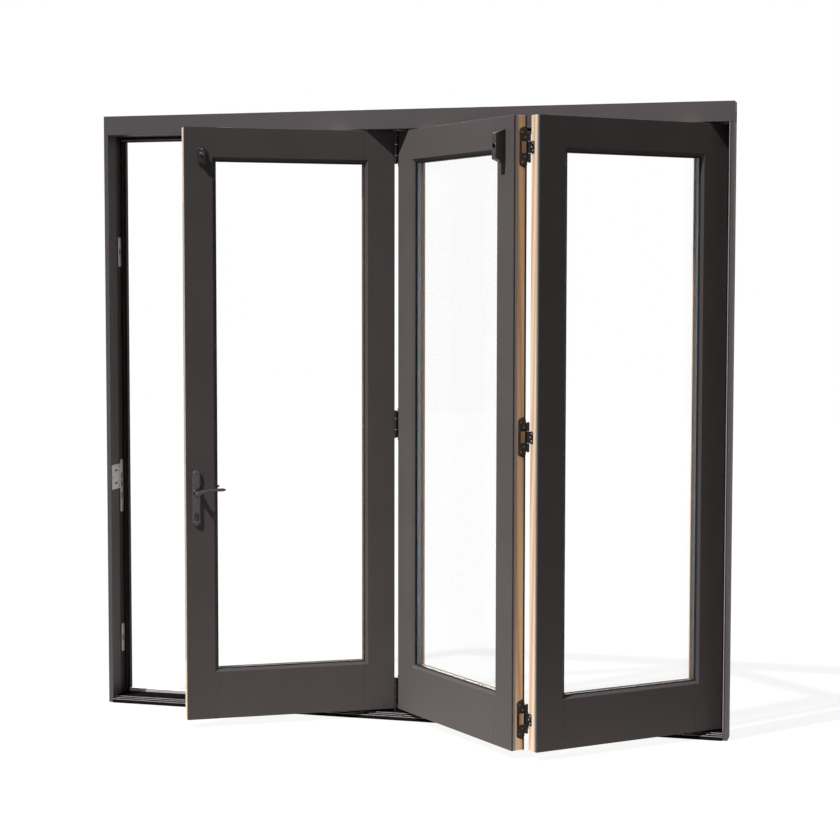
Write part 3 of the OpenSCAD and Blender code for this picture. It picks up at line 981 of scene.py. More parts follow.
@dataclass(frozen=True)
class OuterFrame:
    """Head, jambs, track, sill and the seals on the stops."""

    edge_mm: float = 1.2
    board_edge_mm: float = 1.5
    sill_edge_mm: float = 0.6
    strip_w: float = 10
    rib_count: int = 3
    rib_pitch: float = 16
    rib_size: float = 3
    rib_start: float = 4
    groove_w: float = 14
    groove_lip: float = 3
    lip_h: float = 12
    nose: float = 8
    line_t: float = 0.3
    head_line_h: float = 5
    rib_highlight_w: float = 3.6
    rib_highlight_h: float = 2.2

    def build(self) -> None:
        """Builds and dresses every frame piece."""
        for side in ("left", "right"):
            eased_node(f"{side}_jamb_cladding", self.edge_mm, FRAME_COAT)
            eased_node(f"{side}_jamb_board", self.board_edge_mm, FRAME_PAINT)
        eased_node("head_cladding", self.edge_mm, FRAME_COAT)
        eased_node("head_board", self.board_edge_mm, FRAME_PAINT)
        eased_node("head_track", 0.4, TRACK)
        eased_node("sill", self.sill_edge_mm, SILL)
        eased_node("sill_strip", self.edge_mm, SILL_STRIP)
        self.build_seal()
        self.build_rib_highlights()
        self.build_lines()

    def build_seal(self) -> None:
        """Builds the bulb seals on the stops' outdoor faces."""
        size = SIZES
        side_x = size.frame_w / 2 - size.jamb_w
        stop_y = size.front_y + size.leaf_setback + size.leaf_t + size.seal_t
        low, high = size.sill_h, size.head_z - size.stop_w
        shells = Shells(WholeFrame())
        profile = bulb(self.strip_w, size.seal_t)
        for way in (-1, 1):
            middle = way * (side_x - self.strip_w / 2)
            axes = Axes((middle, stop_y, low), (1, 0, 0), (0, -1, 0), (0, 0, 1))
            shells.bar(axes, profile, high - low)
        reach = side_x - size.stop_w
        at = (-reach, stop_y, size.head_z - self.strip_w / 2)
        shells.bar(Axes(at, (0, 0, 1), (0, -1, 0), (1, 0, 0)), profile, 2 * reach)
        seal = shells.to_piece("frame_bulb_seal", RUBBER, "weatherstrip")
        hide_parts("frame_weatherstrip")

    def build_rib_highlights(self) -> None:
        """Builds light strips on the sill's ribs, a painted highlight where the sun strikes their
        tops.
        """
        size = SIZES
        start_y = size.front_y - self.nose
        end_y = size.pin_y - self.groove_w / 2 - self.groove_lip
        slope = (size.sill_mid_h - self.lip_h) / (end_y - start_y)
        ribs = [end_y - self.rib_start - (i + 1) * self.rib_pitch for i in range(self.rib_count)]
        size_up, half = self.lip_h + self.rib_size, self.rib_size / 2
        tops = [(y + half, size_up + slope * (y - start_y)) for y in ribs]
        reach = size.frame_w / 2 - size.jamb_w
        shells = Shells(WholeFrame())
        for y, z in tops:
            axes = on_edge(-reach, y, z - self.rib_highlight_h)
            shells.bar(axes, bulb(self.rib_highlight_w, self.rib_highlight_h + 0.3, 7), 2 * reach)
        shells.to_piece("sill_rib_painted_highlights", PAINTED_RIB_HIGHLIGHT, "sill_strip_aluminium")

    def build_lines(self) -> None:
        """Builds a pale strip painted as a lit edge and a dark strip painted as shade along the
        hinge jamb, and a pale strip painted as a lit line under the head.
        """
        size = SIZES
        inner_x = size.frame_w / 2 - size.jamb_w
        stop_y = size.front_y + size.leaf_setback + size.leaf_t + size.seal_t
        rise = size.head_z - size.sill_h
        # clip gathers the pale strips painted as lit edges; seal gathers the dark strip painted as
        # shade.
        clip, seal = Shells(WholeFrame()), Shells(WholeFrame())
        for shells, start, width in ((clip, 1.4, 2.6), (seal, 4, 3.6)):
            corner = (inner_x + start, size.front_y, size.sill_h)
            axes = Axes(corner, (1, 0, 0), (0, -1, 0), (0, 0, 1))
            shells.bar(axes, strip(width, self.line_t), rise)
        low_z = size.head_z - self.strip_w - 1 - self.head_line_h
        axes = Axes((-inner_x, stop_y, low_z), (0, 0, 1), (0, -1, 0), (1, 0, 0))
        clip.bar(axes, strip(self.head_line_h, self.line_t), 2 * inner_x)
        clip.to_piece("frame_painted_highlight_strips", PAINTED_EDGE_HIGHLIGHT, "frame_cladding")
        # The dark strip in seal is painted shade of a recessed step along the hinge jamb's inner
        # edge.
        seal.to_piece("hinge_jamb_painted_shade_strip", RUBBER, "weatherstrip")


@dataclass(frozen=True)
class Leaf:
    """One glazed leaf: cladding, timber, panes and the black gaskets that hold them."""

    name: str
    place: Place
    early: str
    late: str
    edge_mm: float = 1.2
    timber_edge_mm: float = 1.5
    gasket_w: float = 1.6

    def build(self) -> None:
        """Builds and dresses the leaf's pieces."""
        for part in ("stile", "rail"):
            node = f"{self.name}_leaf_{part}_cladding"
            eased_node(node, self.edge_mm, LEAF_COAT)
        for part, grain in (("stiles", Grain.UPRIGHT), ("rails", Grain.ACROSS)):
            wood = ClearTimber(
                f"clear softwood, {self.name} {part}",
                self.early,
                self.late,
                self.place.turn,
                grain,
            )
            eased_node(f"{self.name}_leaf_{part}", self.timber_edge_mm, wood)
        dress(f"{self.name}_leaf_glass", GLASS)
        self.build_gaskets()

    def build_gaskets(self) -> None:
        """Builds the wedge gaskets on both sides of the panes.

        The outdoor one also laps the inner edge of the cladding's bevel.
        """
        size = SIZES
        low = (size.stile_w, size.bottom_rail_h)
        high = (size.leaf_w - size.stile_w, size.leaf_h - size.top_rail_h)
        pane, width = size.clad_t, self.gasket_w
        back = pane + 2 * size.pane_t + size.pane_gap
        lap = [(-2.6, 8.3), (-2.0, 7.7), (0.2, 9.2), (width, 10.6), (width, pane)]
        lap += [(-0.1, pane), (-0.1, 10.2)]
        indoor = [(0.0, back), (width, back), (0.7 * width, back + 2.2), (0.0, back + 3)]
        shells = Shells(self.place)
        for profile in (lap, indoor):
            shells.picture_frame(profile, low, high)
        shells.to_piece(f"{self.name}_leaf_gaskets", RUBBER, "weatherstrip")


@dataclass(frozen=True)
class SharedLeafTrim:
    """Beads, spacers and edge seals, which the part keeps as one node for all leaves."""

    strip_w: float = 7
    strip_t: float = 3
    strip_back: float = 1
    lit_edge_v: float = 8
    lit_edge_w: float = 7.6
    lit_edge_t: float = 0.4
    hinge_half: float = 67

    def build(self) -> None:
        """Builds and dresses the trim."""
        dress("glass_spacers", SPACER)
        self.build_beads()
        self.build_seals()
        self.build_lit_edge_strips()

    def build_beads(self) -> None:
        """Builds the moulded beads that hold the panes from indoors, mitred at the corners."""
        size = SIZES
        wood = ClearTimber("clear softwood beads", "#e6c5a2", "#dcb78e", 0.0, Grain.UPRIGHT)
        low = (size.stile_w - size.bevel_w, size.bottom_rail_h - size.bevel_w)
        high = (size.leaf_w - low[0], size.leaf_h - size.top_rail_h + size.bevel_w)
        back = size.clad_t + 2 * size.pane_t + size.pane_gap
        top, width = size.leaf_t, size.bevel_w
        bends = np.linspace(0, math.pi / 2, 6)
        round_over = [(width - 9 + 8 * math.sin(t), top - 8 + 8 * math.cos(t)) for t in bends]
        profile = [(0, back), (width, back), (width, top - 9)] + round_over[::-1] + [(0, top)]
        shells = Shells(ACCESS)
        for place in (ACCESS, MIDDLE, JAMB):
            shells.place = place
            shells.picture_frame(profile, low, high)
        beads = shells.to_piece("moulded_glazing_beads", wood, "timber")
        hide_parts("glazing_beads")

    def build_seals(self) -> None:
        """Builds the small bulb seals on the leaves' meeting edges."""
        size = SIZES
        middle_v = size.leaf_t - self.strip_back - self.strip_w / 2
        ends = [0.0, size.leaf_h]
        cuts = [z + way * self.hinge_half for z in EDGE_HINGES for way in (-1, 1)]
        runs = [(ACCESS, ends), (MIDDLE, [0.0, *cuts, size.leaf_h]), (JAMB, ends)]
        shells = Shells(ACCESS)
        for place, stops in runs:
            shells.place = place
            for low, high in zip(stops[::2], stops[1::2]):
                axes = Axes((size.leaf_w, middle_v, low), (0, 1, 0), (1, 0, 0), (0, 0, 1))
                shells.bar(axes, bulb(self.strip_w, self.strip_t), high - low)
        seals = shells.to_piece("leaf_bulb_seals", RUBBER, "weatherstrip")
        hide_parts("leaf_weatherstrips")

    def build_lit_edge_strips(self) -> None:
        """Builds pale strips along each leaf's upright edges, painted highlights where the
        cladding's return catches the light.
        """
        shells = Shells(ACCESS)
        profile = strip(self.lit_edge_w, self.lit_edge_t)
        for place in (ACCESS, MIDDLE, JAMB):
            shells.place = place
            for u, way in ((0, -1), (SIZES.leaf_w, 1)):
                axes = Axes((u, self.lit_edge_v, 2), (0, 1, 0), (way, 0, 0), (0, 0, 1))
                shells.bar(axes, profile, SIZES.leaf_h - 4)
        shells.to_piece("leaf_painted_highlight_strips", PAINTED_EDGE_HIGHLIGHT, "leaf_cladding")


@dataclass(frozen=True)
class HingeRow:
    """Three hinges of one kind: outer plates, centre plates, pins and screws.

    Args:
        kind: The row's name.
        outer_edge: The edge that carries the outer plates.
        centre_edge: The edge that carries the centre plates.
        heights: Heights of the hinges above the leaf's bottom.
    """

    kind: str
    outer_edge: LeafEdge
    centre_edge: LeafEdge
    heights: tuple[float, float, float]
    plate_h: float = 134
    barrel_h: float = 110
    centre_h: float = 44
    reach: float = 32
    back_w: float = 8
    plate_t: float = 3.4
    gap: float = 1
    barrel_r: float = 5.5
    pin_x: float = 2
    screw_r: float = 4
    outer_screws: tuple = ((-22, 56), (-9, 36), (-22, -56), (-9, -36))
    centre_screws: tuple = ((-16, 14), (-7, 0), (-16, -14))
    edge_mm: float = 0.7

    def build(self) -> None:
        """Builds both plates, the knuckles, the pin caps and the screws."""
        outer, outer_screws = Shells(self.outer_edge), Shells(self.outer_edge)
        centre, centre_screws = Shells(self.centre_edge), Shells(self.centre_edge)
        for z in self.heights:
            self.add_outer(outer, z)
            self.add_centre(centre, z)
            for y, dz in self.outer_screws:
                outer_screws.screw(self.face(y, z + dz), self.screw_r)
            for y, dz in self.centre_screws:
                centre_screws.screw(self.face(y, z + dz), self.screw_r)
        outer_piece = outer.to_piece(f"{self.kind}_hinge_outer", HINGE_BLACK, "hinge_black")
        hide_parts(f"{self.kind}_hinge_outer_plates")
        centre_piece = centre.to_piece(f"{self.kind}_hinge_centre", HINGE_BLACK, "hinge_black")
        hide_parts(f"{self.kind}_hinge_centre_plates")
        outer_screws.to_piece(f"{self.kind}_hinge_screws", SCREW_BLACK, "hinge_black")
        centre_screws.to_piece(f"{self.kind}_hinge_centre_screws", SCREW_GLINT, "hinge_black")

    def face(self, y: float, z: float) -> Axes:
        """Gives the axes of a drawing on a plate's outer face, at y and z."""
        return on_edge(self.plate_t - 0.1, y, z)

    def add_outer(self, shells: Shells, z: float) -> None:
        """Adds a forked plate with its two knuckles and their pin caps."""
        window = self.centre_h / 2 + self.gap
        plate, barrel, pin_y = self.plate_h / 2, self.barrel_h / 2, SIZES.pin_off
        right = [(0, -plate), (0, -barrel), (pin_y, -barrel), (pin_y, -window)]
        inner = [(self.back_w - self.reach, -window), (self.back_w - self.reach, window)]
        left = [(pin_y, window), (pin_y, barrel), (0, barrel), (0, plate)]
        corners = [(-self.reach, -plate), *right, *inner, *left, (-self.reach, plate)]
        radii = [9, 3, 1, 1, 1, 2, 2, 1, 1, 1, 3, 9]
        axes = on_edge(0, 0, z)
        shells.plate(axes, rounded(corners, radii), self.plate_t, self.edge_mm)
        for low, high in ((-barrel, -window), (window, barrel)):
            self.add_knuckle(shells, z + low, z + high)
        for way in (-1, 1):
            at = (self.pin_x, pin_y, z + way * barrel)
            cap = [(4.2, 0), (4.2, 1.2), (3.6, 2.2), (2.2, 2.9), (0.1, 3.1)]
            shells.turned(Axes(at, (1, 0, 0), (0, 1, 0), (0, 0, way)), cap, 20)

    def add_centre(self, shells: Shells, z: float) -> None:
        """Adds the centre plate, which fills the fork, and its knuckle."""
        half, pin_y = self.centre_h / 2, SIZES.pin_off
        far = self.back_w + self.gap - self.reach
        corners = [(far, -half), (pin_y, -half), (pin_y, half), (far, half)]
        axes = on_edge(0, 0, z)
        shells.plate(axes, rounded(corners, [5, 1, 1, 5]), self.plate_t, self.edge_mm)
        self.add_knuckle(shells, z - half, z + half)

    def add_knuckle(self, shells: Shells, low: float, high: float) -> None:
        """Adds a barrel from low to high with rounded rims."""
        r, e = self.barrel_r, 0.8
        profile = [(r - e, 0), (r, e), (r, high - low - e), (r - e, high - low)]
        at = (self.pin_x, SIZES.pin_off, low)
        shells.turned(Axes(at, (1, 0, 0), (0, 1, 0), (0, 0, 1)), profile, 24)


@dataclass(frozen=True)
class HingeShadeFlaps:
    """Black rubber flaps that close the daylight in a row of hinges' windows, as painted shade of
    the barrels.

    Args:
        kind: The hinge row's name.
        edge: The edge that carries them.
        heights: Heights of the hinges above the leaf's bottom.
        low_y: Where they start, counted toward the pin.
    """

    kind: str
    edge: LeafEdge
    heights: tuple[float, float, float]
    low_y: float
    high_y: float = 5.2
    half_h: float = 23
    thickness: float = 0.8

    def build(self) -> None:
        """Builds one flap of painted shade in each hinge's window."""
        shells = Shells(self.edge)
        corners = [(self.low_y, -self.half_h), (self.high_y, -self.half_h)]
        corners += [(self.high_y, self.half_h), (self.low_y, self.half_h)]
        for z in self.heights:
            axes = on_edge(0, 0, z)
            shells.plate(axes, rounded(corners, [1, 1, 1, 1]), self.thickness, 0.3)
        shells.to_piece(f"{self.kind}_hinge_shade_flaps", RUBBER, "weatherstrip")


@dataclass(frozen=True)
class HingeRecesses:
    """The routed recesses around the fold hinges, drawn as thin floors around the plates whose dark
    colour is painted shade.
    """

    edge: LeafEdge
    heights: tuple[float, float, float]
    margin: float = 2
    plate_half: float = 67
    reach: float = 32
    slant: float = 11
    window: tuple[float, float] = (-23, -2.5)
    window_half: float = 22
    thickness: float = 0.3

    def build(self) -> None:
        """Builds a thin floor of painted shade around each plate, with slanted ends toward the
        indoor face.
        """
        far, near, half = -self.reach - self.margin, -1.0, self.plate_half + self.margin
        corners = [(far, -half), (near, -half - self.slant), (near, half + self.slant), (far, half)]
        outline = rounded(corners, [12, 1, 1, 12])
        low, high = self.window
        hole = [(low, -self.window_half), (high, -self.window_half)]
        hole += [(high, self.window_half), (low, self.window_half)]
        shells = Shells(self.edge)
        for z in self.heights:
            axes = on_edge(0, 0, z)
            shells.plate(axes, outline, self.thickness, 0.1, (rounded(hole, [1, 1, 1, 1]),))
        shells.to_piece("fold_hinge_recess_painted_shade", PAINTED_RECESS_SHADE, "timber")


@dataclass(frozen=True)
class LeverSet:
    """Escutcheons, levers, spindle, cylinder and faceplate."""

    backset: float = 40
    spindle_z: float = 930
    length: float = 114
    rise: float = 14
    off: float = 44
    thickness: float = 9
    esc_w: float = 34
    esc_t: float = 8
    esc_up: float = 93
    esc_down: float = 134
    key_drop: float = 97.5
    key_w: float = 17
    key_h: float = 33
    bar_w: float = 6
    key_proud: float = 2.6

    def build(self) -> None:
        """Builds and dresses the lever set."""
        self.build_escutcheons()
        for side in ("outside", "inside"):
            self.build_lever(side)
        dress("spindle", STEEL)
        self.build_cylinder()
        eased_node("lock_faceplate", 0.4, STEEL)

    def face(self, side: str, depth: float, z: float) -> Axes:
        """Gives axes on a leaf face: u to the right, z up, out of the leaf.

        Args:
            side: outside or inside.
            depth: Distance out from the leaf's face.
            z: Height above the leaf's bottom.

        Returns:
            The axes.
        """
        v = -depth if side == "outside" else SIZES.leaf_t + depth
        way = -1 if side == "outside" else 1
        return Axes((self.backset, v, z), (1, 0, 0), (0, 0, 1), (0, way, 0))

    def build_escutcheons(self) -> None:
        """Builds both backplates with arched ends, a collar around the spindle and screws."""
        shells, screws = Shells(ACCESS), Shells(ACCESS)
        outline = rounded_box(self.esc_w, -self.esc_down, self.esc_up, self.esc_w / 2)
        raised = rounded_box(
            self.esc_w - 8, -self.esc_down + 4, self.esc_up - 4, self.esc_w / 2 - 4
        )
        collar = [(15.5, 0), (15.5, 2), (14.8, 3.4), (13.6, 4.2)]
        collar += [(12.6, 3.8), (12, 2.6), (11.4, 2.6)]
        for side in ("outside", "inside"):
            shells.plate(self.face(side, 0, self.spindle_z), outline, self.esc_t - 2, 2)
            shells.plate(self.face(side, self.esc_t - 2.2, self.spindle_z), raised, 2.2, 1.6)
            shells.turned(self.face(side, self.esc_t - 0.2, self.spindle_z), collar)
            for dz in (self.esc_up - 14, -self.esc_down + 14):
                screws.screw(self.face(side, self.esc_t - 0.2, self.spindle_z + dz), 3.6)
        piece = shells.to_piece("backplates", BRONZE, "handle_bronze")
        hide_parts("escutcheons")
        screws.to_piece("backplate_screws", SCREW_BLACK, "handle_bronze")

    def build_lever(self, side: str) -> None:
        """Builds a lever: a turned hub and a blade that sweeps up to a waist and swells again.

        Along the lever at s, the centre line stands at rise sin(min(1, s / 0.52 length) 90
        degrees). Each cross-section is a superellipse whose half height and half thickness
        follow knots joined by S-curves, and shrink to a point at both ends as
        sqrt(1 - e e), with e the distance into the end over its length.

        Args:
            side: outside or inside.
        """
        root, tip = 10.0, 12.0
        ends = np.linspace(0, math.pi / 2, 9)
        s = np.concatenate(
            [
                -root * np.cos(ends),
                np.linspace(1, self.length - tip, 46),
                self.length - tip + tip * np.sin(ends[1:]),
            ]
        )
        into_root = np.clip(-s / root, 0, 0.9999)
        into_tip = np.clip((s - self.length + tip) / tip, 0, 0.9999)
        taper = np.sqrt(1 - into_root**2) * np.sqrt(1 - into_tip**2)
        half_h = eased_between([(0, 10), (58, 4.4), (90, 6.8), (114, 5.6)], s) * taper
        half_t = eased_between([(0, 5), (40, 4.4), (90, 3.6), (114, 3)], s) * taper
        middle = self.rise * np.sin(np.clip(s / (0.52 * self.length), 0, 1) * math.pi / 2)
        turn = np.linspace(0, 2 * math.pi, 28, endpoint=False)
        across = np.sign(np.cos(turn)) * np.abs(np.cos(turn)) ** 0.8
        upward = np.sign(np.sin(turn)) * np.abs(np.sin(turn)) ** 0.8
        rings = np.stack(
            [
                np.repeat(s[:, None], len(turn), axis=1),
                middle[:, None] + half_h[:, None] * upward,
                half_t[:, None] * across,
            ],
            axis=-1,
        )
        shells = Shells(ACCESS)
        blade = self.face(side, self.off + self.thickness / 2, self.spindle_z)
        shells.loft(blade.lay(rings))
        start = self.esc_t + 0.5
        far = self.off + 7 - start
        hub = [(11.6, 0), (11.6, 3), (11, 4.4), (10, 7), (9.6, 14)]
        hub += [(9.8, far - 18), (10.4, far - 10)]
        hub += [(11, far - 6), (11, far - 2.4), (10, far - 0.8), (8, far)]
        shells.turned(self.face(side, start, self.spindle_z), hub)
        piece = shells.to_piece(f"{side}_swept_lever", BRONZE, "handle_bronze", Body.LEVER)
        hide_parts(f"{side}_lever")

    def build_cylinder(self) -> None:
        """Builds the dark oval around the key cylinder, painted shade of the recess around the bar,
        and its bar with the keyway.
        """
        ovals, bars = Shells(ACCESS), Shells(ACCESS)
        middle_z, half = self.spindle_z - self.key_drop, self.key_h / 2
        oval = rounded_box(self.key_w, -half, half, self.key_w / 2)
        bar = rounded_box(self.bar_w, 4 - half, half - 4, self.bar_w / 2)
        keyway = rounded_box(1.8, 1, 9, 0.8)
        for side in ("outside", "inside"):
            face = self.face(side, self.esc_t - 0.4, middle_z)
            ovals.plate(face, oval, 0.8, 0.3)
            bars.plate(face, bar, self.key_proud, 0.8, (keyway,))
        piece = ovals.to_piece("key_cylinder_recess_painted_shade", RUBBER, "handle_bronze")
        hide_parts("lock_cylinder")
        bars.to_piece("key_cylinder_bars", BRONZE, "handle_bronze")


@dataclass(frozen=True)
class FoldCatch:
    """The bullet on the access leaf and the receiver on the middle leaf."""

    at_u: float = 71
    drop: float = 113
    plate_w: float = 34
    plate_h: float = 70
    plate_t: float = 5
    length: float = 45
    bullet_r: float = 10
    receiver_w: float = 28
    receiver_d: float = 44

    def build(self) -> None:
        """Builds both halves."""
        self.build_bullet()
        self.build_receiver()

    def build_bullet(self) -> None:
        """Builds the arched plate, the housing under its arch, and the bullet."""
        z = SIZES.leaf_h - self.drop
        axes = Axes((self.at_u, 0, z), (1, 0, 0), (0, 0, 1), (0, -1, 0))
        half_w, half_h = self.plate_w / 2, self.plate_h / 2
        corners = [(-half_w, -half_h), (half_w, -half_h), (half_w, half_h), (-half_w, half_h)]
        shells, screws = Shells(ACCESS), Shells(ACCESS)
        shells.plate(axes, rounded(corners, [7, 7, 16, 16]), self.plate_t, 1.5)
        housing = rounded([(-13, -32), (13, -32), (13, 15), (-13, 15)], [9, 9, 6, 6])
        shells.plate(axes, housing, 16, 3)
        r, end = self.bullet_r, self.length + 8
        dome = [(r * math.cos(t), end - 14 + 14 * math.sin(t)) for t in np.linspace(0, 1.5, 8)]
        shells.turned(axes, [(r + 2, 15), (r + 2, 18), (r, 20), (r, end - 16), *dome])
        at = (self.at_u, -self.plate_t + 0.2, z + 24)
        screws.screw(Axes(at, (1, 0, 0), (0, 0, 1), (0, -1, 0)), 4)
        piece = shells.to_piece("catch_bullet_on_plate", CATCH_BLACK, "handle_bronze")
        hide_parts("catch_bullet")
        screws.to_piece("catch_screw", SCREW_GLINT, "handle_bronze")

    def build_receiver(self) -> None:
        """Builds the tapered receiver and the round plugs in its sides."""
        eased_node("catch_receiver", 2.2, RECEIVER_GREY)
        u, z = SIZES.leaf_w - self.at_u, SIZES.leaf_h - self.drop
        plugs = Shells(MIDDLE)
        dish = [(8, -0.6), (8, 0.5), (7, 0.8), (6, 0.5), (5.4, -0.4), (0.2, -0.4)]
        for way in (-1, 1):
            at = (u + way * self.receiver_w / 2, -24, z)
            plugs.turned(Axes(at, (0, 1, 0), (0, 0, 1), (way, 0, 0)), dish, 24)
        plugs.to_piece("receiver_side_plugs", CATCH_BLACK, "handle_bronze")
        rim = Shells(MIDDLE)
        lip = [(11.2, -3), (11.2, 0.2), (11.6, 0.8), (12.4, 0.8), (13, 0.2), (13, -3)]
        rim.turned(Axes((u, -self.receiver_d, z), (1, 0, 0), (0, 0, 1), (0, -1, 0)), lip, 32, True)
        rim.to_piece("receiver_socket_rim", SCREW_BLACK, "handle_bronze")


@dataclass(frozen=True)
class StrikePlates:
    """Punched keeps on the left jamb: four strips, and a lip that guides the latch in."""

    width: float = 28
    thickness: float = 1.5
    lip_low: float = 924
    lip_high: float = 1031
    lip_back: float = 4
    spans: tuple = ((206, 328), (820, 1048), (1884, 2009))

    def build(self) -> None:
        """Builds the plates with their punched holes and screws."""
        size = SIZES
        x = -size.frame_w / 2 + size.jamb_w
        middle = size.front_y + size.leaf_setback + size.clad_t + (size.leaf_t - size.clad_t) / 2
        plates, screws = Shells(WholeFrame()), Shells(WholeFrame())
        for low, high in self.spans:
            centre, half = (low + high) / 2, (high - low) / 2
            axes = on_edge(x, middle, centre)
            tall = half > 100
            cuts = (-42, 8, 44) if tall else (0,)
            holes = tuple(rounded_box(13, c - 13, c + 13, 3) for c in cuts)
            outline = rounded_box(self.width, -half, half, 8)
            plates.plate(axes, outline, self.thickness, 0.4, holes)
            for dz in (half - 14, 14 - half):
                at = (x + self.thickness - 0.1, middle, centre + dz)
                screws.screw(on_edge(*at), 4.4)
        self.add_lip(plates, screws, x, middle - self.width / 2)
        piece = plates.to_piece("punched_strike_plates", STRIKE_STEEL, "steel")
        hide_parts("strike_plates")
        screws.to_piece("strike_screws", SCREW_GLINT, "steel")

    def add_lip(self, plates: Shells, screws: Shells, x: float, end_y: float) -> None:
        """Adds the wide lip plate with two curved slots, as parts of rings, and its screws."""
        start_y = SIZES.front_y + self.lip_back
        width, centre = end_y - start_y, (self.lip_low + self.lip_high) / 2
        axes = on_edge(x, start_y, centre)
        half = (self.lip_high - self.lip_low) / 2
        corners = [(0, -half), (width, -half), (width, half), (0, half)]
        turn = np.linspace(0.6, 2.5, 9)
        bow = np.column_stack([np.cos(turn), np.sin(turn)])
        slots = []
        for way in (-1, 1):
            slot = np.concatenate([bow * 21, bow[::-1] * 14])
            slots.append(slot * (1, way) + (width / 2, way * 12))
        plates.plate(axes, rounded(corners, [7, 1, 1, 7]), self.thickness, 0.4, tuple(slots))
        for dy, dz in ((10, 0), (width - 12, half - 12), (width - 12, 12 - half)):
            at = (x + self.thickness - 0.1, start_y + dy, centre + dz)
            screws.screw(on_edge(*at), 4.4)


@dataclass(frozen=True)
class SmallHardware:
    """The trolley in the track and the guide in the sill."""

    def build(self) -> None:
        """Builds and dresses both."""
        eased_node("trolley", 0.6, DARK_STEEL)
        eased_node("sill_guide", 0.6, DARK_STEEL)


# Studio


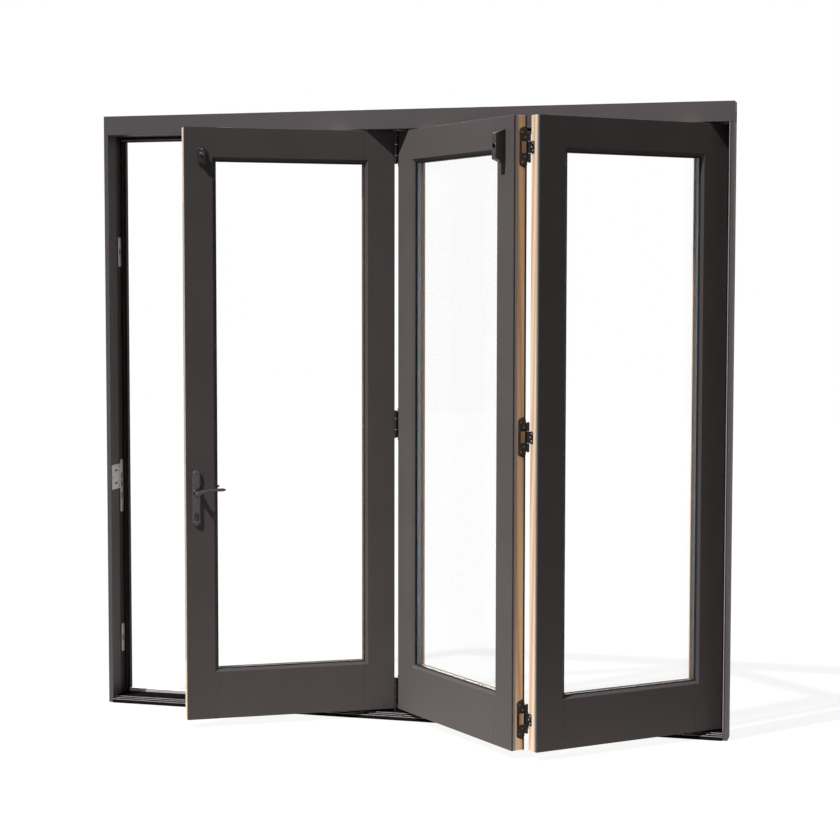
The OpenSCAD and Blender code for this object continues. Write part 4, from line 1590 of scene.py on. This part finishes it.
@dataclass(frozen=True)
class Studio:
    """Pale floor, soft key light, white surroundings and the camera."""

    picture_px: float = 840
    focal_px: float = 1923.9
    sensor_mm: float = 36.0
    camera_at: tuple[float, float, float] = (2.1886, -7.6593, 1.7732)
    yaw: float = 0.2730
    pitch: float = 0.0661
    roll: float = 0.0012
    key_from: tuple[float, float, float] = (-0.377, -0.480, 0.792)
    key_strength: float = 4.5
    key_angle: float = 1.5
    back_from: tuple[float, float, float] = (-0.3, 0.8, 0.5)
    back_strength: float = 1.2
    back_angle: float = 20.0
    fill: float = 0.04
    floor_size: float = 40.0
    floor_shadow: float = 0.1
    bounce_radius: float = 2.1
    bounce_near: str = "#cdc8c4"
    bounce_far: str = "#4c4b4a"

    def seen_directly(self, tree: bpy.types.NodeTree) -> bpy.types.Node:
        """Adds the sum of camera, glossy and transmission rays, as 0 or more."""
        path = add(tree, "ShaderNodeLightPath", {})
        first = add(
            tree,
            "ShaderNodeMath",
            {0: path.outputs["Is Camera Ray"], 1: path.outputs["Is Glossy Ray"]},
            operation="MAXIMUM",
        )
        both = add(
            tree,
            "ShaderNodeMath",
            {0: first, 1: path.outputs["Is Transmission Ray"]},
            operation="MAXIMUM",
        )
        return both

    def build_world(self) -> None:
        """Makes a world that is white to look at and a weak fill for the object."""
        world = bpy.data.worlds.new("white surroundings")
        world.use_nodes = True
        tree = world.node_tree
        tree.nodes.clear()
        seen = self.seen_directly(tree)
        strength = add(
            tree,
            "ShaderNodeMapRange",
            {"Value": seen, "To Min": self.fill, "To Max": 1.0},
        )
        light = add(
            tree,
            "ShaderNodeBackground",
            {"Color": (1.0, 1.0, 1.0, 1.0), "Strength": strength},
        )
        add(tree, "ShaderNodeOutputWorld", {"Surface": light})
        bpy.context.scene.world = world

    def build_floor(self) -> None:
        """Makes the pale floor, which keeps a faint shadow of the object."""
        half = self.floor_size / 2
        corners = [(-half, -half, 0), (half, -half, 0), (half, half, 0), (-half, half, 0)]
        mesh = bpy.data.meshes.new("floor")
        mesh.from_pydata(corners, [], [(0, 1, 2, 3)])
        floor = bpy.data.objects.new("floor", mesh)
        bpy.context.scene.collection.objects.link(floor)
        material, tree, place = new_tree("pale studio floor")
        seen = self.seen_directly(tree)
        away = add(tree, "ShaderNodeVectorMath", {0: place}, operation="LENGTH")
        near = add(
            tree,
            "ShaderNodeMapRange",
            {
                "Value": away.outputs["Value"],
                "From Min": 0.5 * self.bounce_radius,
                "From Max": self.bounce_radius,
            },
        )
        stops = ((0.0, linear(self.bounce_near)), (1.0, linear(self.bounce_far)))
        tone = add(tree, "ShaderNodeValToRGB", {"Fac": near}, stops)
        pale = add(tree, "ShaderNodeBsdfDiffuse", {"Color": linear("#f4f4f4")})
        bounce = add(tree, "ShaderNodeBsdfDiffuse", {"Color": tone})
        white = add(tree, "ShaderNodeEmission", {"Color": (1.0, 1.0, 1.0, 1.0)})
        looked_at = add(
            tree,
            "ShaderNodeMixShader",
            {"Fac": self.floor_shadow, 1: white, 2: pale},
        )
        surface = add(
            tree,
            "ShaderNodeMixShader",
            {"Fac": seen, 1: bounce, 2: looked_at},
        )
        add(tree, "ShaderNodeOutputMaterial", {"Surface": surface})
        mesh.materials.append(material)

    def build_sun(self, name: str, way: tuple, strength: float, angle: float) -> None:
        """Makes a lamp without falloff.

        Args:
            name: The lamp's name.
            way: The direction that its light comes from.
            strength: Its strength.
            angle: Its width in degrees, which softens the shadows.
        """
        light = bpy.data.lights.new(name, "SUN")
        light.energy = strength
        light.angle = math.radians(angle)
        lamp = bpy.data.objects.new(name, light)
        lamp.rotation_mode = "QUATERNION"
        lamp.rotation_quaternion = Vector(way).to_track_quat("Z", "Y")
        bpy.context.scene.collection.objects.link(lamp)

    def build_camera(self) -> None:
        """Makes the camera from its yaw, downward pitch and roll in radians.

        The view direction is cos(pitch) (-sin yaw, cos yaw, 0) - sin(pitch) z, and roll turns
        the picture about it.
        """
        flat = Vector((-math.sin(self.yaw), math.cos(self.yaw), 0.0))
        side = Vector((math.cos(self.yaw), math.sin(self.yaw), 0.0))
        up = Vector((0.0, 0.0, 1.0))
        forward = flat * math.cos(self.pitch) - up * math.sin(self.pitch)
        above = up * math.cos(self.pitch) + flat * math.sin(self.pitch)
        right = side * math.cos(self.roll) + above * math.sin(self.roll)
        above = above * math.cos(self.roll) - side * math.sin(self.roll)
        turn = Matrix((right, above, -forward)).transposed().to_4x4()
        lens = bpy.data.cameras.new("camera")
        lens.sensor_width = self.sensor_mm
        lens.lens = self.sensor_mm * self.focal_px / self.picture_px
        lens.clip_start, lens.clip_end = 0.1, 100.0
        camera = bpy.data.objects.new("camera", lens)
        camera.matrix_world = Matrix.Translation(self.camera_at) @ turn
        bpy.context.scene.collection.objects.link(camera)
        bpy.context.scene.camera = camera

    def build(self) -> None:
        """Sets up the whole studio."""
        bpy.context.scene.view_settings.view_transform = "Standard"
        self.build_world()
        self.build_floor()
        self.build_sun("key", self.key_from, self.key_strength, self.key_angle)
        self.build_sun("back light", self.back_from, self.back_strength, self.back_angle)
        self.build_camera()


def main() -> None:
    """Builds the studio and every sub-assembly in order."""
    logging.basicConfig(level=logging.INFO, format="%(name)s: %(message)s")
    Studio().build()
    OuterFrame().build()
    # The three leaves are one softwood; their differing timber tones are painted light, each leaf
    # paler where its edges are lit more brightly.
    Leaf("access", ACCESS, "#f4dfc8", "#e6c6a4").build()
    Leaf("middle", MIDDLE, "#f3d2ae", "#ddb184").build()
    Leaf("jamb", JAMB, "#ecd3b9", "#d8b08a").build()
    SharedLeafTrim().build()
    width, depth = SIZES.leaf_w, SIZES.leaf_t
    fold_outer = LeafEdge(MIDDLE, width, depth, 1, 1)
    track_outer = LeafEdge(MIDDLE, 0, 0, -1, -1)
    jamb_side = Place(SIZES.frame_w / 2 - SIZES.jamb_w, 0, 0)
    jamb_outer = LeafEdge(jamb_side, 0, 0, -1, -1)
    HingeRow("jamb", jamb_outer, LeafEdge(JAMB, width, 0, 1, -1), EDGE_HINGES).build()
    HingeRow("fold", fold_outer, LeafEdge(JAMB, 0, depth, -1, 1), EDGE_HINGES).build()
    HingeRow("track", track_outer, LeafEdge(ACCESS, width, 0, 1, -1), TRACK_HINGES).build()
    HingeShadeFlaps("track", track_outer, TRACK_HINGES, -8).build()
    HingeShadeFlaps("fold", fold_outer, EDGE_HINGES, -1).build()
    HingeRecesses(fold_outer, EDGE_HINGES).build()
    LeverSet().build()
    FoldCatch().build()
    StrikePlates().build()
    SmallHardware().build()


if __name__ == "__main__":
    main()
